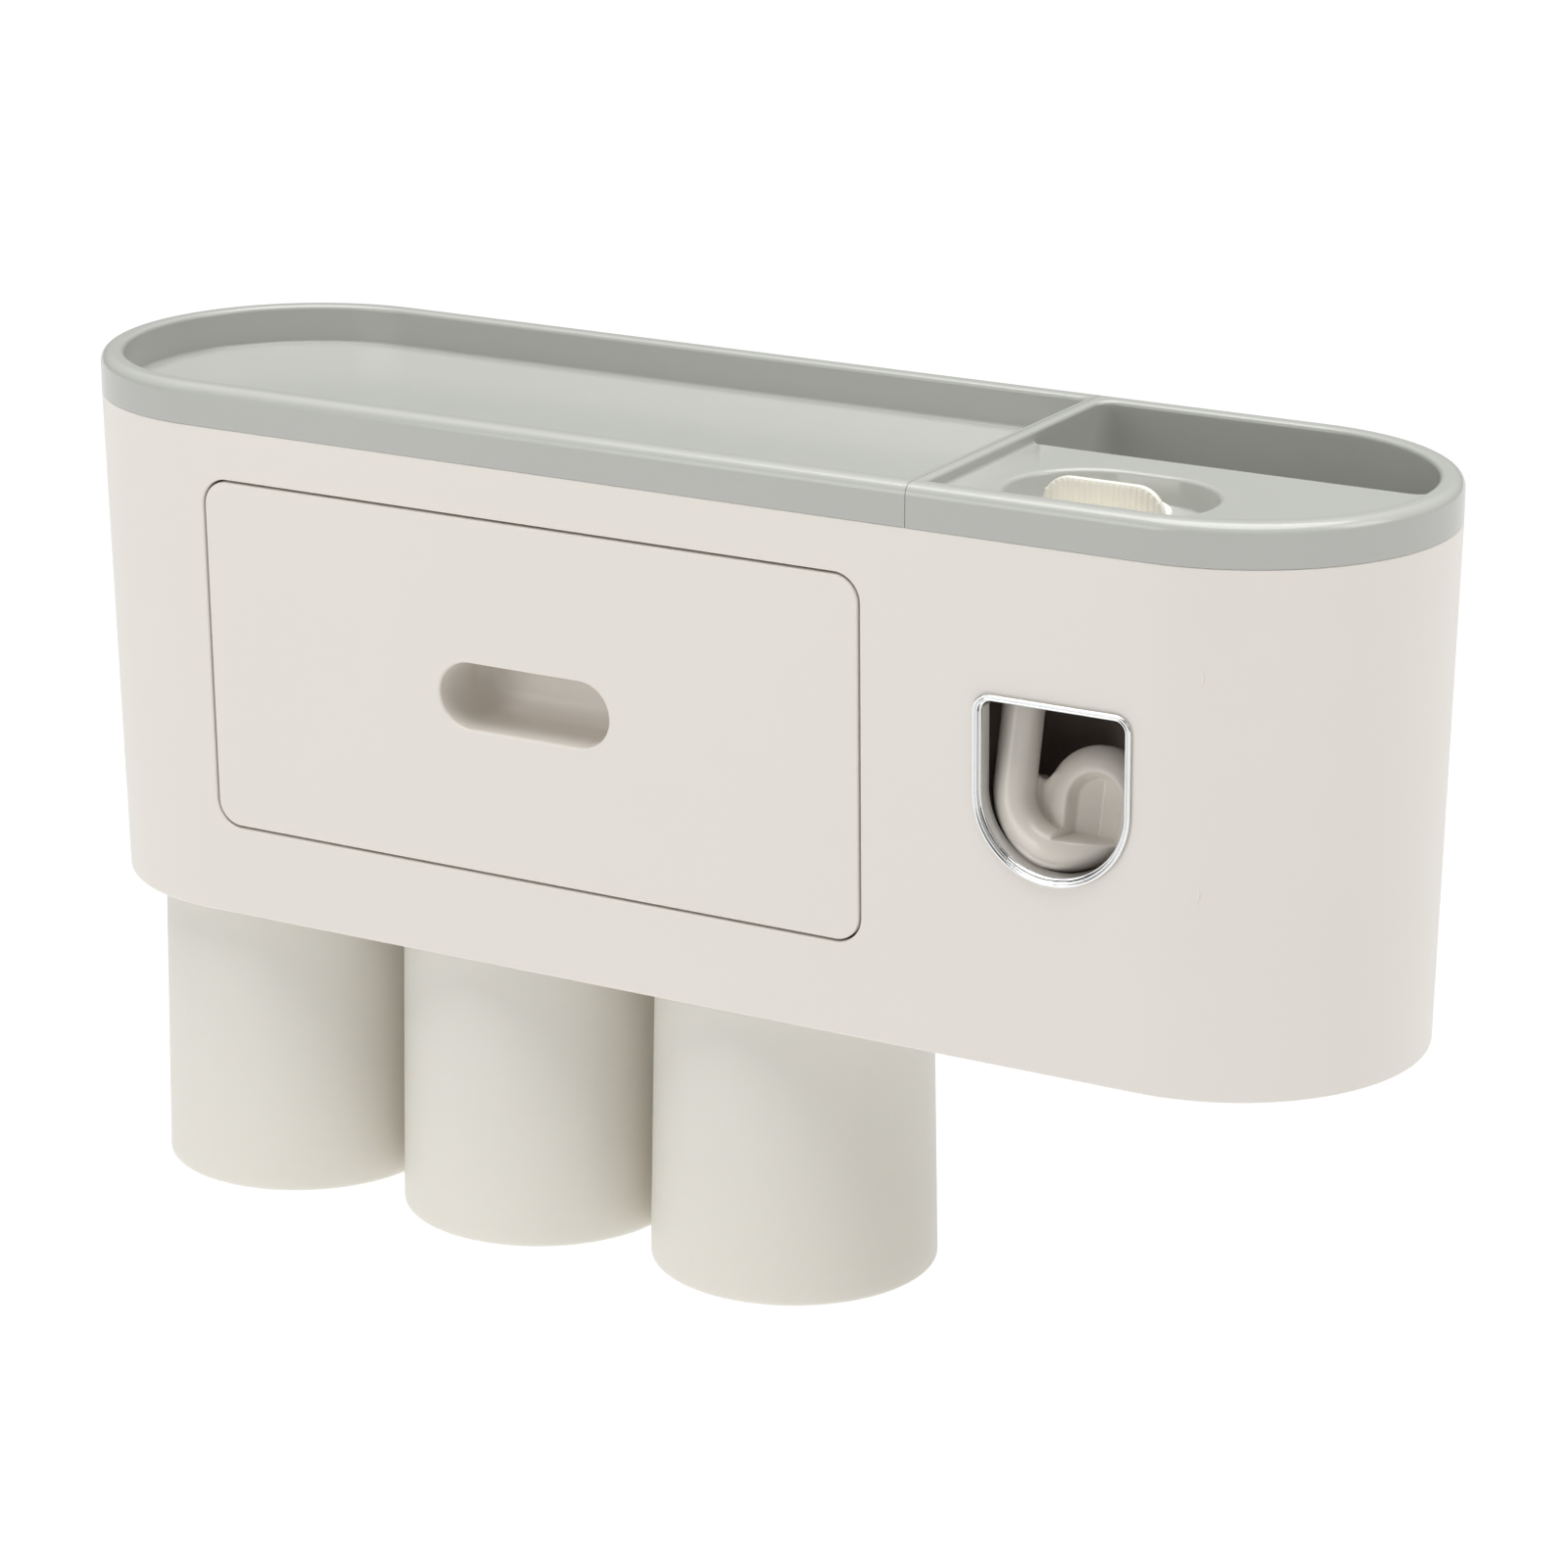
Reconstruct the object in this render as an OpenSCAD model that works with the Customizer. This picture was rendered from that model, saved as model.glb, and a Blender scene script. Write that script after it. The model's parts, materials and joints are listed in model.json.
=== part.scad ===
// Wall-mounted toothbrush holder with a toothpaste dispenser, a drawer, two trays
// and three cups that hang mouth down. X runs along the wall to the right, the
// front looks towards -Y, Z is up. The origin lies on the wall, midway between
// the screw holes of the two wall brackets.

/* [Body] */
// Length along the wall
body_l = 340; // [334:1:380]
// Depth from the wall to the front, at the top
body_d = 96; // [94:1:110]
// Height of the white shell
body_h = 118.9; // [116:0.1:130]
// Draft of the outside, narrower at the bottom, in degrees
draft = 1.06; // [0.2:0.02:1.6]
// Thickness of the shell's wall
wall = 2.2; // [1.8:0.1:2.6]
// Height of the skirt below the bottom plate
skirt_h = 8; // [6:0.5:12]
// Thickness of the bottom plate
plate_t = 2.2; // [1.8:0.1:3]
// Height of the wall screws above the bottom edge
mount_z = 60; // [56:1:64]

/* [Trays] */
// Height of the grey rim above the shell
rim_h = 9.5; // [8.5:0.1:12]
// Width of the rim, with its rounded edges
rim_w = 5.5; // [5:0.1:7]
// Radius of the rim's upper edges
edge_r = 2; // [1:0.1:2.2]
// Depth of the left tray below the rim
tray_depth = 9.3; // [6:0.1:9.4]
// Depth of the right platform below the rim
platform_depth = 3; // [2.9:0.1:3.4]
// Depth of the platform in front of the pocket, from the body's front
platform_d = 56.5; // [56:0.5:62]
// Height of the pocket's underside above the bracket's recess
pocket_clear = 0.4; // [0.3:0.1:12]
// Radius of the pocket's upright corners
pocket_corner_r = 4.5; // [3:0.5:6]
// Thickness of the tray floors and walls
tray_t = 2; // [1.6:0.1:2.2]
// Width of the well in the platform
well_w = 47; // [44:0.5:50]
// Front-to-back size of the well
well_d = 37; // [34:0.5:38]
// Depth of the well below the platform
well_depth = 6.2; // [5:0.1:7]
// Distance from the body's front to the well's middle
well_inset = 25.5; // [25:0.5:26]
// Distance from the seam of the trays to the dispenser's middle
seam_offset = 35.3; // [34:0.1:36]

/* [Drawer] */
// Distance from the body's left end to the drawer front
drawer_inset = 52.45; // [50:0.05:70]
// Distance from the drawer front to the dispenser's middle
drawer_to_dispenser = 46.95; // [46:0.05:60]
// Height of the drawer front's lower edge
drawer_low = 22.5; // [22:0.1:30]
// Distance from the drawer front to the shell's upper edge
drawer_top_gap = 12.6; // [12:0.1:20]
// Corner radius of the drawer front
drawer_corner_r = 6; // [3:0.5:10]
// Gap round the drawer front
drawer_gap = 0.5; // [0.4:0.1:0.8]
// Space behind the drawer box
box_back_gap = 10.6; // [8:0.1:20]
// Wall of the drawer box
box_t = 1.8; // [1.4:0.1:2.4]
// Width of the finger pull
pull_w = 45; // [30:1:60]
// Height of the finger pull
pull_h = 15.7; // [13:0.1:20]
// Depth of the finger pull
pull_depth = 20; // [12:1:24]

/* [Dispenser] */
// Distance from the right end to the dispenser's middle
dispenser_inset = 68.6; // [66:0.1:70]
// Width of the window, over its trim
window_w = 37.6; // [36:0.1:38.5]
// Distance from the shell's upper edge down to the window's lower arc centre
window_drop = 56.1; // [55:0.1:57.5]
// Height of the window's top above that centre
window_top = 22.2; // [20:0.1:23]
// Radius of the window's upper corners, over its trim
window_corner_r = 4; // [3:0.1:6]
// Width of the trim's face
trim_w = 1.85; // [1.5:0.05:2.2]
// How far the trim stands proud
trim_proud = 0.9; // [0.6:0.1:1.4]
// Width of the lever's limbs
limb_w = 9.5; // [8.5:0.1:10]
// Thickness of the lever's limbs
limb_t = 7; // [6:0.1:7]
// Lean of the lever at rest, in degrees
lever_lean = 12.3; // [10:0.1:13]
// Outer radius of the lever's bend
bend_r = 17.5; // [17:0.1:18.2]
// Distance from the shell's upper edge down to the lever's pivot
pivot_drop = 28.9; // [28.5:0.1:30]
// Distance of the pivot behind the shell's front, at the top
pivot_back = 17.5; // [17:0.1:18]
// Length of the arms that lift the plunger
arm_l = 25; // [24:0.1:25.5]
// Radius of the pump's cylinder
pump_r = 5.5; // [5:0.1:5.8]

/* [Inlet plug] */
// Width of the ribbed fin
fin_w = 28.7; // [24:0.1:30]
// Height of the fin above the well's floor
fin_h = 9; // [7:0.1:10]
// Thickness of the fin
fin_t = 2.6; // [2:0.1:4]
// Radius of the fin's upper corners
fin_corner_r = 6.5; // [4:0.1:7]
// Number of ribs on the fin
rib_count = 13; // [8:1:16]
// Radius of the plug's flange
flange_r = 13.9; // [12:0.1:15]
// Thickness of the plug's flange
flange_t = 2.6; // [2:0.1:3.2]

/* [Cups] */
// Height of a cup
cup_h = 80; // [70:1:100]
// How much narrower a cup's radius is at its base
cup_taper = 1.6; // [0.5:0.1:3]
// Wall of a cup
cup_t = 1.8; // [1.4:0.1:2.4]
// Gap between cups
cup_gap = 2; // [1:0.5:6]
// Distance from the body's left end to the first cup
cup_inset = 14.25; // [13:0.25:20]
// Distance from the body's front to the cups
cup_front_gap = 5.75; // [5:0.25:8]
// Distance from the last cup to the dispenser's middle
cup_to_dispenser = 50.65; // [48:0.05:60]
// Radius of the steel disc in a cup's base
disc_r = 12; // [9:0.5:14]

/* [Brush rack] */
// Number of brush slots
brush_count = 4; // [2:1:4]
// Distance between brush slots
brush_pitch = 18.5; // [18:0.1:19]
// Radius of the round part of a slot, for the brush's head
brush_head_r = 8; // [7:0.1:8.2]
// Width of the narrow part of a slot, for the brush's neck
brush_neck_w = 7; // [6:0.1:8]

/* [Wall brackets] */
// Distance from each end of the body to the wall screw
bracket_inset = 70; // [65:1:75]
// Width of a bracket
bracket_w = 44; // [36:1:46]
// Height of a bracket
bracket_h = 44; // [38:1:46]
// Radius of a bracket's screw hole
screw_hole_r = 2.25; // [2:0.05:3]
// How far the holder is lifted to take it off
lift = 10.5; // [9:0.1:12]

/* [Hidden] */
$fn = 96;

// Colours, as the photo shows them
white = [0.89, 0.87, 0.85];
grey_green = [0.72, 0.74, 0.72];
cream = [0.84, 0.82, 0.78];
ivory = [0.88, 0.86, 0.80];
dark = [0.17, 0.14, 0.13];
steel = [0.72, 0.72, 0.74];
chrome_c = [0.88, 0.88, 0.90];
rubber = [0.30, 0.30, 0.31];
foam = [0.22, 0.22, 0.22];
milky = [0.80, 0.79, 0.76];

// Overrun of every cut
over = 1;
// Overlap where pieces of one solid are joined
bond = 0.4;
// Clearance of a piece that is set into another
fit_gap = 0.25;
// Clearance of a piece that rests on another
seat_gap = 0.2;
// Radial clearance of a pin or piston that runs in its bore
run_gap = 0.05;
// Steps of a rounded edge
edge_steps = 5;

// Body
end_r = body_d / 2;
axis_x = body_l / 2 - end_r;
slope = tan(draft);
rim_top = body_h + rim_h;
mid_y = -end_r;
function body_r(z) = end_r - (body_h - z) * slope;
function hollow_r(z) = body_r(z) - wall;
function front_y(z) = mid_y - body_r(z);
bottom_edge_r = 0.8;
plate_z = skirt_h;
plate_top = plate_z + plate_t;
ledge_w = 1.6;
ledge_h = 2;
partition_t = 2;
partition_clear = 7;
partition_top = body_h - partition_clear;

// Screws that hold the bottom plate
boss_r = 3.6;
boss_h = 14;
pilot_r = 1.2;
screw_r = 1.15;
screw_l = 10;
head_r = 2.8;
head_t = 1.8;
clear_r = 1.7;

// Drawer
dispenser_x = body_l / 2 - dispenser_inset;
drawer_left = -body_l / 2 + drawer_inset;
drawer_right = dispenser_x - drawer_to_dispenser;
drawer_w = drawer_right - drawer_left;
drawer_x = (drawer_left + drawer_right) / 2;
drawer_h = body_h - drawer_top_gap - drawer_low;
drawer_z = drawer_low + drawer_h / 2;
box_side_inset = 4;
box_w = drawer_w - 2 * box_side_inset;
box_drop = 5;
box_h = drawer_h - 2 * box_drop;
box_corner_r = 4;
box_front_y = front_y(drawer_low) + wall + seat_gap;
runner_w = 4;
runner_t = 3;
partition_gap = 3;
bay_half = drawer_w / 2 + partition_gap;
guide_base_t = 2.4;
guide_lip_t = 2;
guide_clear = 0.3;
guide_front_gap = 4;
guide_back_gap = 5;
pull_wall = 1.8;
peg_r = 2.5;
peg_inset_x = 12;
peg_inset_z = 12;

// Trays
lip_h = 5;
lip_t = 1.8;
lip_r = hollow_r(body_h - lip_h) - fit_gap;
tray_floor_z = rim_top - tray_depth;
platform_z = rim_top - platform_depth;
inner_r = end_r - rim_w;
floor_fillet = 0.8;
divider_left_w = 1.8;
divider_right_w = 2.2;
divider_r = 1;
seam_gap = 0.15;
seam_x = dispenser_x - seam_offset;
pocket_front_y = -body_d + platform_d;
well_shift = 0.9;
well_x = dispenser_x + well_shift;
well_y = -body_d + well_inset;
well_half = (well_w - well_d) / 2;
well_r = well_d / 2;
well_floor_z = platform_z - well_depth;
well_taper = 1.2;
well_edge_r = 1.2;
socket_gap = 0.1;

// Dispenser
window_r = window_w / 2;
opening_r = window_r - trim_w;
opening_corner_r = window_corner_r - trim_w;
window_z = body_h - window_drop;
pivot_z = body_h - pivot_drop;
sleeve_t = 1;
sleeve_l = 4;
trim_gap = 0.1;
pivot_y = front_y(body_h) + pivot_back;
bend_z = (pivot_z - window_z) / cos(lever_lean);
limb_mid_r = bend_r - limb_w / 2;
hub_r = 5;
pin_r = 1.5;
arm_t = 4;
arm_h = 6;
bridge_r = 3;
pad_r = 12.8;
pad_t = 5;
pad_drop = 2.8;
pad_x = bend_r - pad_r;
pad_y = limb_t / 2 - bond;
pad_z = bend_z + pad_drop;
pad_dish_r = 6.3;
pad_dish_h = 7.9;
pad_dish_depth = 1.8;
ledge_z = pad_z + pad_dish_h;
bridge_y = pivot_y + arm_l * cos(lever_lean);
bridge_z = pivot_z - arm_l * sin(lever_lean);
pump_y = bridge_y;

// Housing of the dispenser
housing_w = 54;
housing_t = 2;
housing_deck_drop = 14.9;
housing_h = 66;
housing_top = body_h - housing_deck_drop;
housing_low = housing_top - housing_h;
housing_front_gap = 0.8;
housing_front_y = front_y(housing_low) + wall + housing_front_gap;
chamber_depth = 19.2;
chamber_back_y = pivot_y + chamber_depth;
chamber_h = 41;
chamber_top = housing_low + chamber_h;
wing_h = 32;
wing_low = housing_top - wing_h;
lug_w = 8;
lug_h = 9;
lug_t = 2.4;
front_boss_r = 3.2;
front_boss_l = 8;
pilot_l = 6;
housing_screw_l = lug_t + pilot_l - seat_gap;

// Pump
pump_wall = 1.8;
deck_t = 2;
deck_top = housing_top + deck_t;
socket_r = 9.1;
socket_wall = 1.8;
seal_len = 4;
seal_bore_r = 7.2;
pump_top = well_floor_z - tray_t - seat_gap;
seal_low = pump_top - seal_len;
gallery_r = 1.8;
gallery_up = 3.5;
gallery_z = deck_top + gallery_up;
gallery_w = 10;
gallery_h = 7;
cylinder_up = 6.5;
cylinder_low = pivot_z + cylinder_up;
cylinder_r = pump_r + pump_wall;
housing_back_y = pump_y + cylinder_r + fit_gap;
nozzle_ahead = 8.5;
nozzle_y = pivot_y - nozzle_ahead;
column_r = 6;
column_h = 8;
column_low = deck_top - column_h;
nozzle_socket_r = 4.5;
nozzle_socket_l = 5;
nozzle_plug_l = 3.4;
nozzle_flange_r = 5.1;
nozzle_flange_t = 1.2;
nozzle_tip_r = 3.2;
nozzle_bore_r = 1.8;
nozzle_l = 13;
nozzle_tip_z = column_low - nozzle_l;
valve_r = 5;
valve_t = 1.4;
valve_slit = 0.6;
bill_r = 1.5;
bill_tip_r = 0.6;
bill_l = 2.6;
ear_w = 13;
ear_half_l = 3.2;
tab_w = 44;
tab_l = 10;
tab_t = 2;
tab_x = 17;
tab_y = pump_y - cylinder_r + bond;
cap_t = 2;
cap_lip = 0.8;
spigot_l = 1.5;
piston_up = 0.5;
piston_low = cylinder_low + piston_up;
piston_h = 5;
piston_ring_r = 0.9;
rod_r = 2.5;
foot_r = 4.5;
foot_t = 1.6;
spring_inset = 1.3;
spring_r = pump_r - spring_inset;
spring_wire_r = 0.55;
spring_turns = 4;
spring_steps = 16;
spring_sides = 6;

// Inlet plug
fin_ahead = 1.3;
rib_r = 0.75;
rib_border = 1.5;
stem_r = 6.2;
stem_l = 5;
ring_r = 0.9;
flange_edge_r = 0.9;
plug_z = well_floor_z + seat_gap;
ring_z = plug_z - stem_l / 2;

// Cups: as wide as their share of the bay, or as the plate's depth, allows
cup_count = 3;
cup_back_gap = 6;
cup_bay_w = body_l - cup_inset - cup_to_dispenser - dispenser_inset;
cup_pitch = (cup_bay_w + cup_gap) / cup_count;
cup_mouth_r = min(cup_pitch - cup_gap, body_d - cup_front_gap - cup_back_gap) / 2;
cup_base_r = cup_mouth_r - cup_taper;
cup_y = body_d - cup_front_gap - cup_mouth_r;
cup_top = plate_z - seat_gap;
cup_base_t = 3.4;
cup_base_edge_r = 2.5;
cup_inner_edge_r = 3;
cup_lip_r = cup_t / 2;
cup_mouth_z = cup_top - cup_h;
cup_x0 = -body_l / 2 + cup_inset + (cup_pitch - cup_gap) / 2;
function cup_x(i) = cup_x0 + i * cup_pitch;
disc_t = 1.2;
disc_gap = 0.1;
ring_gap = 0.4;
ring_t = 1.1;
ring_h = 2.4;
magnet_r = 10;
magnet_t = 3;
magnet_wall = 1.6;
magnet_skin = 0.8;
magnet_cap_t = 1.2;
partition_low = plate_z + magnet_skin + magnet_t + magnet_cap_t + fit_gap;

// Brush rack
rack_shift = 4.6;
brush_mid_x = dispenser_x + rack_shift;
brush_y = -28;
brush_neck_l = 22;
rack_w = 82;
rack_d = 58;
rack_y = -39;
rack_t = 1.6;
rack_step = 3;
rack_corner_r = 6;

// Wall brackets
pad_foam_t = 0.8;
bracket_t = 2;
bracket_corner_r = 5;
hook_neck_w = 14;
hook_neck_t = 3;
hook_w = 20;
hook_t = 2;
hook_rise = 8.5;
hook_up = 9;
recess_y = -(pad_foam_t + bracket_t + seat_gap);
recess_wall = 2;
recess_side = 1;
slot_gap = 0.3;
bracket_span = body_l - 2 * bracket_inset;
hook_y = recess_y - recess_wall - seat_gap - hook_t;
box_back_y = hook_y - box_back_gap;
box_l = box_back_y - box_front_y;
pocket_floor_z = mount_z + bracket_h / 2 + recess_side + recess_wall + pocket_clear + tray_t;

// Points of an arc round (cx, cz), angles in degrees
function arc(cx, cz, r, from, to, steps) =
  [for (i = [0:steps]) let (a = from + (to - from) * i / steps) [cx + r * cos(a), cz + r * sin(a)]];

// Every piece is drawn with z = 0 at the body's bottom edge
module at_wall() { translate([0, 0, -mount_z]) children(); }

// A solid whose outline, given from the bottom up, runs round two end axes
module stadium(edge, half = axis_x, mid = [0, mid_y]) {
  last = len(edge) - 1;
  round_end = concat([[0, edge[0][1]]], edge, [[0, edge[last][1]]]);
  across = concat(edge, [for (i = [last:-1:0]) [-edge[i][0], edge[i][1]]]);
  for (side = [-1, 1])
    translate([mid[0] + side * half, mid[1], 0]) rotate([0, 0, -90 * side])
      rotate_extrude(angle = 180) polygon(round_end);
  translate([mid[0], mid[1], 0]) rotate([90, 0, 90])
    linear_extrude(2 * half, center = true) polygon(across);
}

// The body's outside, and its hollow, between two heights
module body_solid(low, high, inset = 0) {
  stadium([[body_r(low) - inset, low], [body_r(high) - inset, high]]);
}

module rounded(w, h, r) {
  square([w - 2 * r, h], center = true);
  square([w, h - 2 * r], center = true);
  for (sx = [-1, 1], sz = [-1, 1]) translate([sx * (w / 2 - r), sz * (h / 2 - r)]) circle(r);
}

// A slot with round ends
module round_slot(w, h) {
  square([w - h, h], center = true);
  for (side = [-1, 1]) translate([side * (w - h) / 2, 0]) circle(h / 2);
}

// An outline in X and Z, extruded along Y from y0 (front) to y1 (back)
module prism_y(y0, y1) { translate([0, y1, 0]) rotate([90, 0, 0]) linear_extrude(y1 - y0) children(); }

// Local XY lies on the drafted front, local Z points out of it
module on_front(x, z) { translate([x, front_y(z), z]) rotate([90 + draft, 0, 0]) children(); }

module box(x, y, z) { translate([x[0], y[0], z[0]]) cube([x[1] - x[0], y[1] - y[0], z[1] - z[0]]); }

module post(x, y, low, high, r) { translate([x, y, low]) cylinder(h = high - low, r = r); }

// A D-shaped outline: an arc below its centre, two rounded corners above
module d_shape(r, top, corner_r) {
  circle(r);
  translate([-r, 0]) square([2 * r, top - corner_r]);
  translate([-r + corner_r, 0]) square([2 * (r - corner_r), top]);
  for (side = [-1, 1]) translate([side * (r - corner_r), top - corner_r]) circle(corner_r);
}

// Sweeps a profile, x outwards from the line, along a D-shaped line
module d_sweep(r, top, corner_r) {
  rotate([0, 0, 180]) rotate_extrude(angle = 180) translate([r, 0]) children();
  for (side = [0, 1]) mirror([side, 0, 0]) {
    translate([r, top - corner_r, 0]) rotate([90, 0, 0]) linear_extrude(top - corner_r) children();
    translate([r - corner_r, top - corner_r, 0]) rotate_extrude(angle = 90)
      translate([corner_r, 0]) children();
    translate([0, top, 0]) rotate([90, 0, 90]) linear_extrude(r - corner_r) children();
  }
}

// Where the bottom plate is screwed up to the shell: two ends, two at the back, one at the front
end_boss = (hollow_r(plate_top) - boss_r + bond) * cos(45);
boss_back_y = mid_y + hollow_r(plate_top) - boss_r + bond;
partition_x = drawer_x + bay_half + partition_t / 2;
boss_places = [
  [-axis_x - end_boss, mid_y + end_boss],
  [axis_x + end_boss, mid_y + end_boss],
  [axis_x + end_boss, mid_y - end_boss],
  [(cup_x(0) + cup_x(1)) / 2, boss_back_y],
  [(cup_x(1) + cup_x(2)) / 2, boss_back_y],
  [partition_x, front_y(plate_top) + wall + boss_r - bond]
];
// Where the dispenser's housing is screwed to the front, from the dispenser's middle
lug_x = housing_w / 2 + lug_w / 2;
lug_heights = [housing_low + lug_h, housing_top - lug_h];
lug_y = front_y(body_h) + wall + front_boss_l;

module drawer_outline(grow = 0) {
  translate([drawer_x, drawer_z]) rounded(drawer_w + 2 * grow, drawer_h + 2 * grow, drawer_corner_r + grow);
}

// The wall plate's recess in the shell's back, with room to lift the holder off
module bracket_recess(grow, y0, y1) {
  low = mount_z - bracket_h / 2 - lift - recess_side - grow;
  high = mount_z + bracket_h / 2 + recess_side + grow;
  for (side = [-1, 1]) translate([side * bracket_span / 2, 0, 0])
    box([-bracket_w / 2 - recess_side - grow, bracket_w / 2 + recess_side + grow], [y0, y1], [low, high]);
}

module outer_shell() color(white) at_wall() {
  difference() {
    union() {
      difference() {
        stadium([
          [body_r(0) - bottom_edge_r, 0], [body_r(bottom_edge_r), bottom_edge_r], [body_r(body_h), body_h]
        ]);
        stadium([[hollow_r(-over), -over], [hollow_r(body_h + over), body_h + over]]);
      }
      intersection() {
        body_solid(over, body_h - over, wall - bond);
        union() {
          difference() {
            body_solid(plate_top, plate_top + ledge_h, wall - bond);
            body_solid(plate_top - over, plate_top + ledge_h + over, wall + ledge_w);
          }
          for (side = [-1, 1])
            translate([drawer_x + side * (bay_half + partition_t / 2) - partition_t / 2, 0, 0])
              box([0, partition_t], [-body_d, 0], [partition_low, partition_top]);
          for (place = boss_places) post(place[0], place[1], plate_top, plate_top + boss_h, boss_r);
          bracket_recess(recess_wall, recess_y - recess_wall, 0);
          for (side = [-1, 1], z = lug_heights)
            translate([dispenser_x + side * lug_x, lug_y, z]) rotate([90, 0, 0])
              cylinder(h = body_d, r = front_boss_r);
        }
      }
    }
    prism_y(-body_d - over, mid_y) drawer_outline(drawer_gap);
    on_front(dispenser_x, window_z) translate([0, 0, -sleeve_l - over]) linear_extrude(sleeve_l + 2 * over)
      d_shape(opening_r + sleeve_t + trim_gap, window_top - trim_w + sleeve_t + trim_gap,
        opening_corner_r + sleeve_t + trim_gap);
    bracket_recess(0, recess_y, over);
    for (side = [-1, 1]) translate([side * bracket_span / 2, 0, mount_z])
      box([-hook_w / 2 - slot_gap, hook_w / 2 + slot_gap], [recess_y - recess_wall - over, recess_y + over],
        [hook_up - lift - slot_gap, hook_up + hook_neck_t + seat_gap]);
    for (place = boss_places)
      post(place[0], place[1], plate_top - over, plate_top + boss_h - over, pilot_r);
    for (side = [-1, 1], z = lug_heights)
      translate([dispenser_x + side * lug_x, lug_y + over, z]) rotate([90, 0, 0])
        cylinder(h = pilot_l + over, r = pilot_r);
  }
}

// Screws hold each bracket to the wall, or the pads behind them do
module bracket_plate(y0, y1) {
  prism_y(y0, y1) difference() {
    rounded(bracket_w, bracket_h, bracket_corner_r);
    circle(screw_hole_r);
  }
}

module wall_brackets() color(milky) at_wall() for (side = [-1, 1])
  translate([side * bracket_span / 2, 0, mount_z]) {
    plate_y = -pad_foam_t - bracket_t;
    bracket_plate(plate_y, -pad_foam_t);
    box([-hook_neck_w / 2, hook_neck_w / 2], [hook_y, plate_y + bond], [hook_up, hook_up + hook_neck_t]);
    box([-hook_w / 2, hook_w / 2], [hook_y, hook_y + hook_t], [hook_up, hook_up + hook_neck_t + hook_rise]);
  }

module bracket_pads() color(foam) at_wall() for (side = [-1, 1])
  translate([side * bracket_span / 2, 0, mount_z]) bracket_plate(-pad_foam_t, 0);

module bottom_plate() color(white) at_wall() {
  plate_r = hollow_r(plate_z) - fit_gap;
  difference() {
    union() {
      stadium([[plate_r, plate_z], [plate_r, plate_top]]);
      for (i = [0:2]) {
        post(cup_x(i), -cup_y, plate_top - bond, plate_z + magnet_skin + magnet_t + magnet_cap_t,
          magnet_r + seat_gap + magnet_wall);
        difference() {
          post(cup_x(i), -cup_y, plate_z - ring_h, plate_z + bond, cup_base_r + ring_gap + ring_t);
          post(cup_x(i), -cup_y, plate_z - ring_h - over, plate_z, cup_base_r + ring_gap);
        }
      }
    }
    for (i = [0:2])
      post(cup_x(i), -cup_y, plate_z + magnet_skin, plate_top + body_h, magnet_r + disc_gap);
    for (place = boss_places) post(place[0], place[1], plate_z - over, plate_top + over, clear_r);
    translate([brush_mid_x, rack_y, plate_z - over]) linear_extrude(plate_t + 2 * over)
      rounded(rack_w - 2 * rack_step + 2 * fit_gap, rack_d - 2 * rack_step + 2 * fit_gap, rack_corner_r);
  }
}

module bottom_screws() color(steel) at_wall() for (place = boss_places) {
  post(place[0], place[1], plate_z - head_t, plate_z, head_r);
  post(place[0], place[1], plate_z - bond, plate_z - bond + screw_l, screw_r);
}

// Keyhole slots: the head goes up through the round end, the neck slides into the narrow end
module brush_slot(x, low, high) {
  post(x, brush_y, low, high, brush_head_r);
  box([x - brush_neck_w / 2, x + brush_neck_w / 2], [brush_y - brush_neck_l, brush_y], [low, high]);
  post(x, brush_y - brush_neck_l, low, high, brush_neck_w / 2);
}

module brush_rack() color(grey_green) at_wall() difference() {
  union() {
    translate([brush_mid_x, rack_y, plate_z - rack_t]) linear_extrude(rack_t)
      rounded(rack_w, rack_d, rack_corner_r + rack_step);
    translate([brush_mid_x, rack_y, plate_z - bond]) linear_extrude(plate_t + 2 * bond)
      rounded(rack_w - 2 * rack_step, rack_d - 2 * rack_step, rack_corner_r);
  }
  for (i = [0:brush_count - 1])
    brush_slot(brush_mid_x + (i - (brush_count - 1) / 2) * brush_pitch,
      plate_z - body_d, plate_top + body_d);
}

module drawer_guides() color(milky) at_wall() for (side = [-1, 1])
  translate([drawer_x, 0, drawer_z]) mirror([side > 0 ? 0 : 1, 0, 0]) {
    y_span = [box_front_y + guide_front_gap, -wall - guide_back_gap];
    base = [bay_half - guide_base_t, bay_half];
    lips = [box_w / 2 + guide_clear, bay_half - guide_base_t + bond];
    half_gap = runner_t / 2 + guide_clear;
    box(base, y_span, [-half_gap - guide_lip_t, half_gap + guide_lip_t]);
    for (up = [0, 1]) mirror([0, 0, up]) box(lips, y_span, [half_gap, half_gap + guide_lip_t]);
  }

module drawer_front() color(white) at_wall() difference() {
  union() {
    intersection() {
      difference() {
        body_solid(over, body_h - over);
        body_solid(0, body_h, wall);
      }
      prism_y(-body_d - over, mid_y) drawer_outline();
    }
    intersection() {
      body_solid(over, body_h - over);
      prism_y(-body_d, -body_d + pull_depth + pull_wall) translate([drawer_x, drawer_z])
        round_slot(pull_w + 2 * pull_wall, pull_h + 2 * pull_wall);
    }
    for (place = peg_places) translate([place[0], box_front_y + box_t, place[1]]) rotate([90, 0, 0])
      cylinder(h = box_front_y + box_t - front_y(place[1]) - wall / 2, r = peg_r);
  }
  prism_y(-body_d - over, -body_d + pull_depth) translate([drawer_x, drawer_z])
    round_slot(pull_w, pull_h);
}

peg_places = [for (sx = [-1, 1], sz = [-1, 1])
  [drawer_x + sx * (box_w / 2 - peg_inset_x), drawer_z + sz * (box_h / 2 - peg_inset_z)]];

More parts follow.
